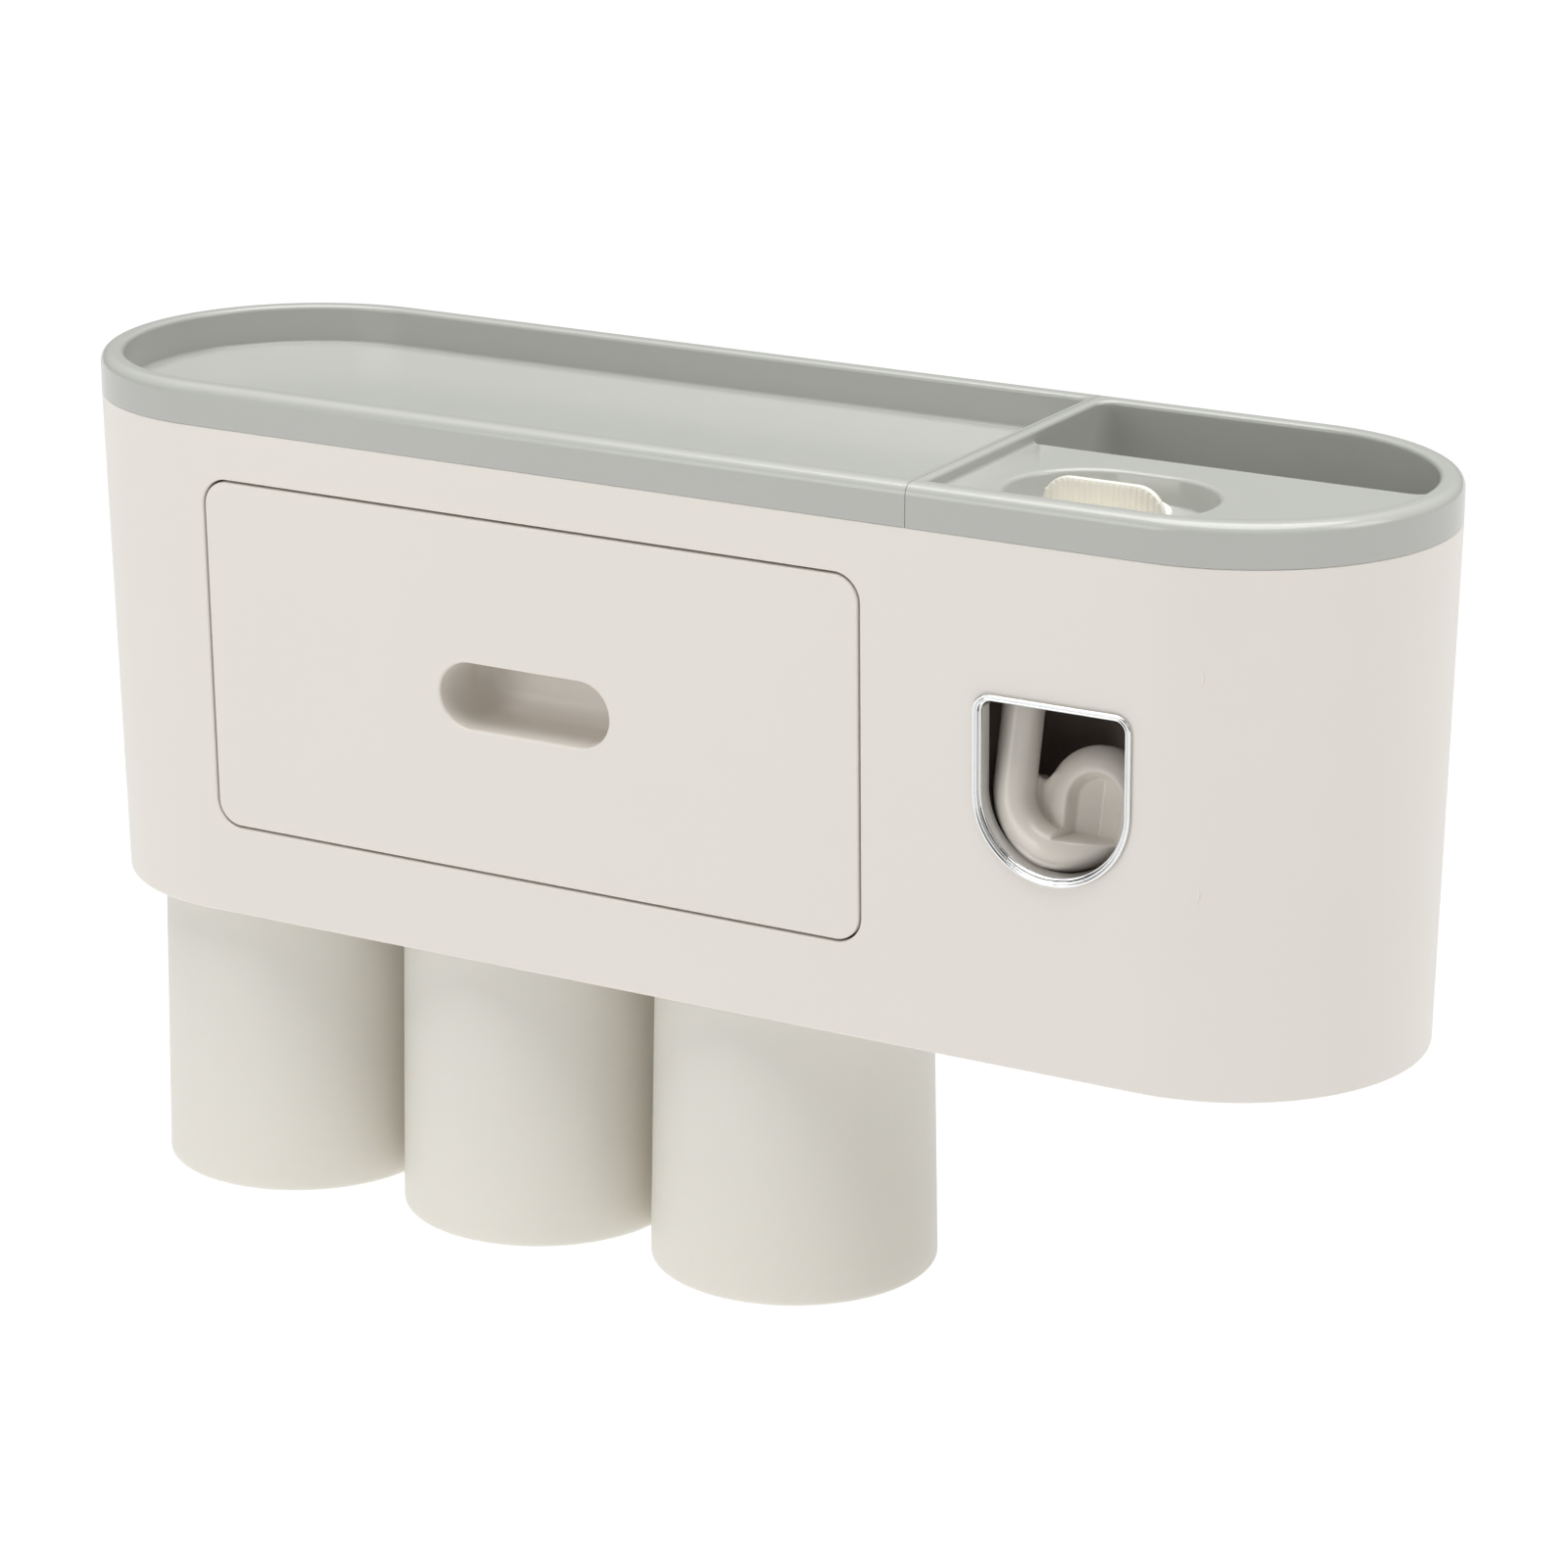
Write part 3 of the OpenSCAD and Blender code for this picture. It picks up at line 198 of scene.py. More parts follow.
# The dish: its middle and radius, its foot with the foot's steepness, how soft its edge is,
# and its floor, which rises to both sides of the deepest line
DISH_X, DISH_Z, DISH_SPAN = 4.9, -30.1, 6.2
DISH_LOW, DISH_STEEP = -38.3, 1.5
DISH_SOFT, DISH_SOFT_W = 0.9, 2.2
DISH_REACH = 4.0
DISH_FLOOR, DISH_LINE, DISH_RISE_LEFT, DISH_RISE_RIGHT = 3.2, 0.3, 0.22, 0.34

# Hubs on the pin, arms and bridge
HUB_X, HUB_HALF, HUB_R, PIN_BORE = 12.75, 4.75, 5.0, 1.55
ARM_NEAR, ARM_FAR, ARM_HALF, ARM_START, ARM_L = 8.0, 12.0, 3.0, 3.5, 25.0

# How fine the lever is melted, and for how long
MELT, MELT_PASSES = 0.3, 34

# Plug: stem with its groove, flange, fin and the ribs on it
STEM_R, STEM_EDGE, STEM_GROOVE = 6.2, 0.4, 0.9
FLANGE_R, FLANGE_T, FLANGE_EDGE = 13.9, 2.6, 0.9
FIN_W, FIN_H, FIN_T, FIN_CORNER, FIN_AHEAD = 28.7, 9.0, 2.6, 6.5, 1.3
FIN_FRONT_EDGE, FIN_BACK_EDGE, FIN_SUNK = 0.3, 1.5, 0.5
RIBS, RIB_R, RIB_OUT, RIB_SUNK, RIB_STEPS = 20, 0.62, 0.24, 0.05, 6
RIB_MARGIN, RIB_SHORT, RIB_FOOT = 1.3, 0.35, 0.3
RIB_ENDS = ((1, 0.5), (0.8, 0.2), (0.25, 0))

# Cups
CUP_TAPER = 1.6
CUP_T = 1.8
CUP_BASE_T = 3.4
CUP_BASE_EDGE, CUP_INNER_EDGE = 2.5, 3.0
DISC_R, DISC_T = 12.1, 1.2

# Steps of a long arc, a small corner, a rounded edge and of some wider or finer edges
LONG, SHORT, FINE = 72, 14, 5
TOP_STEPS, HOLE_STEPS, RIM_STEPS, PULL_STEPS = 2, 4, 9, 10
DISH_FRONT_STEPS, DISH_BACK_STEPS = LONG * 2 // 3, LONG // 2

# Sides of round pieces
PEG_SIDES, POST_SIDES, HOLE_SIDES, PLUG_SIDES, LATHE_SIDES = 24, 32, 48, 96, 144
LIMB_SIDES, ROD_SIDES, PAD_SIDES = 32, 36, 64


def arc(cx, cy, r, start, stop, steps):
    """Points of an arc, angles in degrees."""
    turns = [math.radians(start + (stop - start) * i / steps) for i in range(steps + 1)]
    return [(cx + r * math.cos(a), cy + r * math.sin(a)) for a in turns]


def quarter(r, steps=FINE):
    """Steps of a rounded edge: how far in from the wall, how far down from the face."""
    turns = [math.pi / 2 * i / steps for i in range(steps + 1)]
    return [(r * (1 - math.sin(a)), r * (1 - math.cos(a))) for a in turns]


def fillet_steps(r, steps=FINE):
    """The same steps from the face to the wall."""
    return list(reversed(quarter(r, steps)))


def ease(share):
    """A share between 0 and 1 with soft ends."""
    share = min(1.0, max(0.0, share))
    return share * (share * (3 - 2 * share))


def shell_r(z):
    return END_R - (SHELL_TOP - z) * SLOPE


def front_y(z):
    return MID_Y - shell_r(z)


def back_y(z):
    return MID_Y + shell_r(z)


def stadium(r, z, half=AXIS_X, mid=(0.0, MID_Y)):
    """A level outline round two end axes, from the right end's front to the left end's front."""
    right = arc(mid[0] + half, mid[1], r, -90, 90, LONG)
    left = arc(mid[0] - half, mid[1], r, 90, 270, LONG)
    return [(x, y, z) for x, y in right + left]


def body_outline(r, z):
    """The shell's level outline; its flat back runs on a little past the end axes."""
    turn = math.degrees(math.asin(ROUND_STOP / END_R))
    right = arc(AXIS_X, MID_Y, r, -90, 90 - turn, LONG) + [(AXIS_X + FLAT_START, MID_Y + r)]
    left = [(-x, y) for x, y in reversed(right)]
    return [(x, y, z) for x, y in right + left]


def loop(cx, cy, r, sides):
    return arc(cx, cy, r, 0, 360 - 360 / sides, sides - 1)


def around(sides):
    """Angles of a full turn."""
    return [2 * math.pi / sides * k for k in range(sides)]


def circle(cx, cy, r, z, sides=HOLE_SIDES):
    """A level circle."""
    return [(x, y, z) for x, y in loop(cx, cy, r, sides)]


def rounded(cx, cz, w, h, r):
    """A rounded rectangle in X and Z."""
    points = []
    for sx, sz, start in ((1, -1, -90), (1, 1, 0), (-1, 1, 90), (-1, -1, 180)):
        points += arc(cx + sx * (w / 2 - r), cz + sz * (h / 2 - r), r, start, start + 90, SHORT)
    return points


def window(grow):
    """The window's outline from its arc centre: an arc below, two corners above."""
    r, corner = OPENING_R, OPENING_CORNER
    points = arc(0, 0, r + grow, 180, 360, LONG)
    points += arc(r - corner, OPENING_TOP - corner, corner + grow, 0, 90, SHORT)
    points += arc(corner - r, OPENING_TOP - corner, corner + grow, 90, 180, SHORT)
    supported = []
    for (ax, az), (bx, bz) in zip(points, points[1:] + points[:1]):
        supported.append((ax, az))
        if math.hypot(bx - ax, bz - az) > STRAIGHT:
            supported += [(ax + (bx - ax) * s, az + (bz - az) * s) for s in STRAIGHT_SHARES]
    return supported


def on_front(u, v, out):
    """A point from the window's centre along the drafted front, and out of it."""
    lean, level = math.sin(DRAFT), math.cos(DRAFT)
    y = front_y(WINDOW_Z) - v * lean - out * level
    return (WINDOW_X + u, y, WINDOW_Z + v * level - out * lean)


class Skin:
    """A closed surface drawn in patches whose edges meet."""

    def __init__(self):
        self.bm = bmesh.new()

    def ring(self, points):
        return [self.bm.verts.new(Vector(p) * MM) for p in points]

    def strip(self, a, b, closed=True):
        for i in range(len(a) if closed else len(a) - 1):
            j = (i + 1) % len(a)
            self.bm.faces.new((a[i], a[j], b[j], b[i]))

    def loft(self, rings, closed=True):
        for a, b in zip(rings, rings[1:]):
            self.strip(a, b, closed)

    def rings(self, outlines, closed=True):
        made = [self.ring(o) for o in outlines]
        self.loft(made, closed)
        return made

    def sheet(self, *loops):
        """A flat face inside the first loop, with the other loops as holes."""
        edges = []
        for ring in loops:
            ring = [v for i, v in enumerate(ring) if (v.co - ring[i - 1].co).length > WELD * MM]
            for a, b in zip(ring, ring[1:] + ring[:1]):
                edges.append(self.bm.edges.get((a, b)) or self.bm.edges.new((a, b)))
        bmesh.ops.triangle_fill(self.bm, use_beauty=True, edges=edges)

    def solid(self, outlines):
        """A loft closed by a face at each end."""
        made = self.rings(outlines)
        self.bm.faces.new(made[0])
        self.bm.faces.new(made[-1])

    def post(self, x, y, low, high, r):
        """An upright rod."""
        self.solid([circle(x, y, r, z, POST_SIDES) for z in (low, high)])

    def peg(self, x, z, front, back, r):
        """A rod from front to back."""
        self.solid([[(u, y, v) for u, v in loop(x, z, r, PEG_SIDES)] for y in (front, back)])

    def lathe(self, x, y, section, sides=LATHE_SIDES):
        """Turns a section of radius and height round an upright axis."""
        return self.rings([circle(x, y, max(r, 1e-4), z, sides) for r, z in section])

    def build(self, name, material, body, slot, *nodes, sharp=30):
        """Makes the piece: smooth, with true flats, riding on its body in place of its nodes."""
        bm = self.bm
        bmesh.ops.remove_doubles(bm, verts=bm.verts, dist=WELD * MM)
        bmesh.ops.recalc_face_normals(bm, faces=bm.faces)
        for face in bm.faces:
            face.smooth = True
        for edge in bm.edges:
            if len(edge.link_faces) == 2:
                edge.smooth = edge.calc_face_angle() < math.radians(sharp)
        piece = add(name, self.mesh(name), material, body, slot, *nodes)
        weighted = piece.modifiers.new("even_normals", "WEIGHTED_NORMAL")
        weighted.keep_sharp = True

    def mesh(self, name):
        made = bpy.data.meshes.new(name)
        self.bm.to_mesh(made)
        self.bm.free()
        return made


def place(name, data):
    """An object in the scene."""
    thing = bpy.data.objects.new(name, data)
    bpy.context.scene.collection.objects.link(thing)
    return thing


def add(name, mesh, material, body, slot, *nodes):
    """A piece in place of nodes."""
    piece = place(name, mesh)
    mesh.materials.clear()
    mesh.materials.append(material)
    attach(piece, body)
    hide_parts(*nodes)
    return piece


def melted(name, mesh, voxel, passes):
    """A fine mesh of overlapping solids, joined and with edges melted as a mould leaves them."""
    piece = place(name + "_raw", mesh)
    remesh = piece.modifiers.new("voxels", "REMESH")
    remesh.mode = "VOXEL"
    remesh.voxel_size = voxel * MM
    remesh.use_smooth_shade = True
    smooth = piece.modifiers.new("melt", "SMOOTH")
    smooth.factor = 0.5
    smooth.iterations = passes
    bpy.context.view_layer.update()
    seen = piece.evaluated_get(bpy.context.evaluated_depsgraph_get())
    fine = bpy.data.meshes.new_from_object(seen)
    bpy.data.objects.remove(piece)
    fine.name = name
    for polygon in fine.polygons:
        polygon.use_smooth = True
    return fine


# Materials: moulded grain, faint mottling and uneven gloss, all in object space.
# Each noise has its scale and detail.
MOTTLE_NOISE, GLOSS_NOISE, GRAIN_NOISE, BRUSH_NOISE = (16, 3), (70, 4), (2200, 2), (900, 3)
MOTTLE_ENDS = (0.3, 0.7)
GRAIN_DEPTH = 0.00005
GLOSS_SWING, BRUSH_SWING = 0.04, 0.3
PLASTIC_IOR = 1.5
GLOW_COLOUR, GLOW_DEPTH = (1.0, 0.8, 0.6), 0.006


class Surface:
    """A new material, with the shader and what varies it."""

    def __init__(self, name):
        self.material = bpy.data.materials.new(name)
        self.material.use_nodes = True
        self.tree = self.material.node_tree
        self.shader = self.tree.nodes["Principled BSDF"]
        self.place = self.tree.nodes.new("ShaderNodeTexCoord").outputs["Object"]

    def join(self, output, node, name):
        self.tree.links.new(output, node.inputs[name])

    def noise(self, scale, detail):
        node = self.tree.nodes.new("ShaderNodeTexNoise")
        node.inputs["Scale"].default_value = scale
        node.inputs["Detail"].default_value = detail
        self.join(self.place, node, "Vector")
        return node.outputs["Fac"]

    def mottle(self, noise, colour, swing):
        ramp = self.tree.nodes.new("ShaderNodeValToRGB")
        shades = (1 - swing, 1 + swing)
        for element, position, shade in zip(ramp.color_ramp.elements, MOTTLE_ENDS, shades):
            element.position = position
            element.color = (*[min(1.0, c * shade) for c in colour], 1)
        self.join(noise, ramp, "Fac")
        self.join(ramp.outputs["Color"], self.shader, "Base Color")

    def gloss(self, noise, low, high):
        node = self.tree.nodes.new("ShaderNodeMapRange")
        node.inputs["To Min"].default_value = low
        node.inputs["To Max"].default_value = high
        self.join(noise, node, "Value")
        self.join(node.outputs["Result"], self.shader, "Roughness")

    def grain(self, noise, strength):
        bump = self.tree.nodes.new("ShaderNodeBump")
        bump.inputs["Strength"].default_value = strength
        bump.inputs["Distance"].default_value = GRAIN_DEPTH
        self.join(noise, bump, "Height")
        self.join(bump.outputs["Normal"], self.shader, "Normal")


def plastic(name, colour, roughness, grain=0.05, mottle=0.012, subsurface=0.0):
    surface = Surface(name)
    surface.mottle(surface.noise(*MOTTLE_NOISE), colour, mottle)
    surface.gloss(surface.noise(*GLOSS_NOISE), roughness - GLOSS_SWING, roughness + GLOSS_SWING)
    surface.grain(surface.noise(*GRAIN_NOISE), grain)
    inputs = surface.shader.inputs
    inputs["IOR"].default_value = PLASTIC_IOR
    if subsurface:
        inputs["Subsurface Weight"].default_value = subsurface
        inputs["Subsurface Radius"].default_value = GLOW_COLOUR
        inputs["Subsurface Scale"].default_value = GLOW_DEPTH
    return surface.material


def metal(name, colour, roughness, grain, stretch=1.0):
    surface = Surface(name)
    surface.shader.inputs["Base Color"].default_value = (*colour, 1)
    surface.shader.inputs["Metallic"].default_value = 1.0
    scale = surface.tree.nodes.new("ShaderNodeMapping")
    scale.inputs["Scale"].default_value = (1, 1, stretch)
    surface.join(surface.place, scale, "Vector")
    surface.place = scale.outputs["Vector"]
    noise = surface.noise(*BRUSH_NOISE)
    surface.gloss(noise, roughness * (1 - BRUSH_SWING), roughness * (1 + BRUSH_SWING))
    surface.grain(noise, grain)
    return surface.material


WHITE = plastic("white_plastic", (0.80, 0.757, 0.70), 0.36, mottle=0.006)
GREY = plastic("grey_green_plastic", (0.475, 0.482, 0.45), 0.2)
CREAM = plastic("cream_plastic", (0.75, 0.725, 0.665), 0.42, subsurface=0.4)
IVORY = plastic("ivory_plastic", (0.90, 0.87, 0.78), 0.4)
DARK = plastic("dark_plastic", (0.38, 0.32, 0.285), 0.5, mottle=0.1)
MILKY = plastic("milky_plastic", (0.66, 0.65, 0.62), 0.42, subsurface=0.15)
# The lever's white plastic, darker and warmer than WHITE: painted shade of the dark chamber round it
SHADED_LEVER_WHITE = plastic("lever_white_painted_shade", (0.74, 0.69, 0.62), 0.24)
RUBBER = plastic("rubber", (0.07, 0.07, 0.075), 0.65, grain=0.2, mottle=0.08)
FOAM = plastic("foam", (0.05, 0.05, 0.05), 0.85, grain=0.8, mottle=0.2)
CHROME = metal("chrome", (0.78, 0.785, 0.785), 0.05, grain=0.004)
STEEL = metal("steel", (0.60, 0.60, 0.62), 0.36, grain=0.008, stretch=0.1)

FINISHES = {"white_plastic": WHITE, "grey_green_plastic": GREY, "cream_plastic": CREAM,
            "ivory_plastic": IVORY, "dark_plastic": DARK, "milky_plastic": MILKY,
            "chrome": CHROME, "steel": STEEL, "rubber": RUBBER, "foam": FOAM}
for part in frame["record"]["subparts"]:
    node = frame["nodes"][part["node"]]
    node.data.materials.clear()
    node.data.materials.append(FINISHES[part["material_slot"]])


# Outer shell: drafted walls, a front with two openings, bracket recesses in the back
def make_shell():
    skin = Skin()
    low, high = SHELL_LOW + BOTTOM_EDGE, SHELL_TOP - TOP_EDGE
    end = LONG + 2

    def walls(inset):
        """Two rings joined at the ends; the flat front and back are left as loops."""
        a, b = (skin.ring(body_outline(shell_r(z) - inset, z)) for z in (low, high))
        skin.strip(a[:end], b[:end], closed=False)
        skin.strip(a[end:], b[end:], closed=False)
        return a, b, [a[-1], a[0], b[0], b[-1]], [a[end - 1], a[end], b[end], b[end - 1]]

    outer_low, outer_high, outer_front, outer_back = walls(0)
    inner_low, inner_high, inner_front, inner_back = walls(WALL)

    def level(inset, z):
        return skin.ring(body_outline(shell_r(z) - inset, z))

    below = [level(inset, SHELL_LOW + drop) for inset, drop in fillet_steps(BOTTOM_EDGE)]
    above = [level(inset, SHELL_TOP - drop) for inset, drop in fillet_steps(TOP_EDGE, TOP_STEPS)]
    skin.loft([outer_low] + below + [level(WALL, SHELL_LOW), inner_low])
    skin.loft([outer_high] + above + [level(WALL, SHELL_TOP), inner_high])

    def drawer_hole(grow, depth):
        more = 2 * (DRAWER_GAP + grow)
        outline = rounded(DRAWER_X, DRAWER_Z, DRAWER_W + more, DRAWER_H + more,
                          DRAWER_CORNER + grow + DRAWER_GAP)
        return [(x, front_y(z) + depth, z) for x, z in outline]

    def window_hole(grow, depth):
        return [on_front(u, v, -depth) for u, v in window(SLEEVE_T + TRIM_GAP + grow)]

    outer_holes, inner_holes = [], []
    for hole in (drawer_hole, window_hole):
        rows = skin.rings([hole(*step) for step in quarter(HOLE_EDGE, HOLE_STEPS)] + [hole(0, WALL)])
        outer_holes.append(rows[0])
        inner_holes.append(rows[-1])
    skin.sheet(outer_front, *outer_holes)
    skin.sheet(inner_front, *inner_holes)

    # Each bracket's recess, the hump inside it and the slot through both
    recess = (RECESS_HALF, RECESS_LOW, RECESS_HIGH)
    grown = (HUMP_HALF, RECESS_LOW - RECESS_WALL, RECESS_HIGH + RECESS_WALL)
    slot = (SLOT_HALF, SLOT_LOW, SLOT_HIGH)

    def box_loop(x, half, low_z, high_z, y):
        corners = ((-1, low_z), (1, low_z), (1, high_z), (-1, high_z))
        return skin.ring([(x + sx * half, y(z), z) for sx, z in corners])

    outer_holes, inner_holes = [], []
    for side in (-1, 1):
        x = side * BRACKET_X
        mouth = box_loop(x, *recess, back_y)
        bottom = box_loop(x, *recess, lambda z: RECESS_Y)
        slot_out = box_loop(x, *slot, lambda z: RECESS_Y)
        slot_in = box_loop(x, *slot, lambda z: HUMP_Y)
        hump = box_loop(x, *grown, lambda z: HUMP_Y)
        foot = box_loop(x, *grown, lambda z: back_y(z) - WALL)
        skin.strip(mouth, bottom)
        skin.sheet(bottom, slot_out)
        skin.strip(slot_out, slot_in)
        skin.sheet(hump, slot_in)
        skin.strip(hump, foot)
        outer_holes.append(mouth)
        inner_holes.append(foot)
    skin.sheet(outer_back, *outer_holes)
    skin.sheet(inner_back, *inner_holes)
    return skin


def islands(node):
    """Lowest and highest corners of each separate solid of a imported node."""
    bm = bmesh.new()
    bm.from_mesh(frame["nodes"][node].data)
    bmesh.ops.remove_doubles(bm, verts=bm.verts, dist=WELD * MM)
    left, found = set(bm.verts), []
    for first in bm.verts:
        if first not in left:
            continue
        left.remove(first)
        stack, group = [first], []
        while stack:
            vert = stack.pop()
            group.append(vert.co / MM)
            near = [v for v in (e.other_vert(vert) for e in vert.link_edges) if v in left]
            stack += near
            left.difference_update(near)
        found.append([[pick(p[k] for p in group) for k in range(3)] for pick in (min, max)])
    bm.free()
    return found


def add_inner_ribs(skin):
    """Partitions beside the drawer, screw bosses and the ledge over the bottom plate."""
    for side in (-1, 1):
        x, half = DRAWER_X + side * (PARTITION_OFFSET + PARTITION_T / 2), PARTITION_T / 2
        ends = []
        for z in (PARTITION_LOW, PARTITION_HIGH):
            front = front_y(z) + WALL - BOND
            ends.append([(x - half, front, z), (x + half, front, z),
                         (x + half, HUMP_Y, z), (x - half, HUMP_Y, z)])
        skin.solid(ends)
    for low, high in islands("bottom_screws"):
        x, y = (low[0] + high[0]) / 2, (low[1] + high[1]) / 2
        skin.post(x, y, PLATE_TOP, PLATE_TOP + BOSS_H, BOSS_R)
    for side in (-1, 1):
        for z in HOUSING_BOSS_Z:
            x, y = WINDOW_X + side * HOUSING_BOSS_X, front_y(z) + WALL
            skin.peg(x, z, y - BOND, y + HOUSING_BOSS_L, HOUSING_BOSS_R)
    ledge = [(WALL - BOND, 0), (WALL + LEDGE_W, 0), (WALL + LEDGE_W, LEDGE_H), (WALL - BOND, LEDGE_H)]
    rows = [skin.ring(stadium(shell_r(PLATE_TOP) - inset, PLATE_TOP + up)) for inset, up in ledge]
    skin.loft(rows + rows[:1])


shell = make_shell()
add_inner_ribs(shell)
shell.build("shell_body", WHITE, "holder", "white_plastic", "outer_shell")


# Trays: outlines are drawn away from the seam, then set on their side of it
def dish_plan(end_x, divider, back_corner, split):
    """The dish's wall with its outward directions and the radius of its upper edge."""
    front, back = MID_Y - DISH_R, MID_Y + DISH_R
    plan = [((divider, POCKET_FRONT), 180.0, DIVIDER_EDGE)]

    def turn(cx, cy, r, start, stop, steps, edges):
        for i, point in enumerate(arc(cx, cy, r, start, stop, steps)):
            share = i / steps
            edge = edges[0] + (edges[1] - edges[0]) * share
            plan.append((point, start + (stop - start) * share, edge))

    c = DISH_CORNER
    turn(divider + c, front + c, c, 180, 270, SHORT, (DIVIDER_EDGE, RIM_EDGE))
    turn(end_x, MID_Y, DISH_R, -90, split, DISH_FRONT_STEPS, (RIM_EDGE, RIM_EDGE))
    turn(end_x, MID_Y, DISH_R, split, 90, DISH_BACK_STEPS, (RIM_EDGE, RIM_EDGE))
    c = back_corner
    turn(divider + c, back - c, c, 90, 180, SHORT, (RIM_EDGE, DIVIDER_EDGE))
    return plan


# Points of that plan up to the split
FRONT_COUNT = 1 + (SHORT + 1) + (DISH_FRONT_STEPS + 1)


def rim_rows(skin, put, plan, end_x, under):
    """The rim from the dish's wall over its top, down its outside and in to the underside."""
    def dish_row(turn):
        row = []
        for (u, y), out, edge in plan:
            far, a = edge * (1 - math.cos(turn)), math.radians(out)
            z = RIM_TOP - edge * (1 - math.sin(turn))
            row.append(put(u + far * math.cos(a), y + far * math.sin(a), z))
        return row

    dish = skin.rings([dish_row(math.pi / 2 * i / FINE) for i in range(FINE + 1)])

    def outside(r, z, edge=SEAM_HALF):
        ends = arc(end_x, MID_Y, r, -90, 90, LONG)
        return [put(u, y, z) for u, y in [(edge, MID_Y - r)] + ends + [(edge, MID_Y + r)]]

    lip_low, lip_in = SHELL_TOP - LIP_H, LIP_R - LIP_T
    rows = [outside(END_R - inset, RIM_TOP - drop) for inset, drop in quarter(RIM_OUTER, RIM_STEPS)]
    rows += [outside(END_R, SHELL_TOP), outside(LIP_R, SHELL_TOP), outside(LIP_R, lip_low),
             outside(lip_in, lip_low, LIP_END), outside(lip_in, under, LIP_END)]
    made = skin.rings(rows)
    skin.sheet(made[0], dish[-1])
    return dish[0], made[-1]


def make_left_tray():
    skin = Skin()

    def put(u, y, z):
        return SEAM_X - u, y, z

    end_x = SEAM_X + AXIS_X
    plan = dish_plan(end_x, DIVIDER_LEFT, DISH_CORNER, LEFT_SPLIT)
    wall, under = rim_rows(skin, put, plan, end_x, TRAY_FLOOR - TRAY_T)
    rows = [wall]
    for inset, drop in fillet_steps(FILLET):
        rows.append(skin.ring([put(u - inset * math.cos(math.radians(out)),
                                   y - inset * math.sin(math.radians(out)), TRAY_FLOOR + drop)
                               for (u, y), out, _ in plan]))
    skin.loft(rows)
    skin.sheet(rows[-1])
    skin.sheet(under)
    return skin


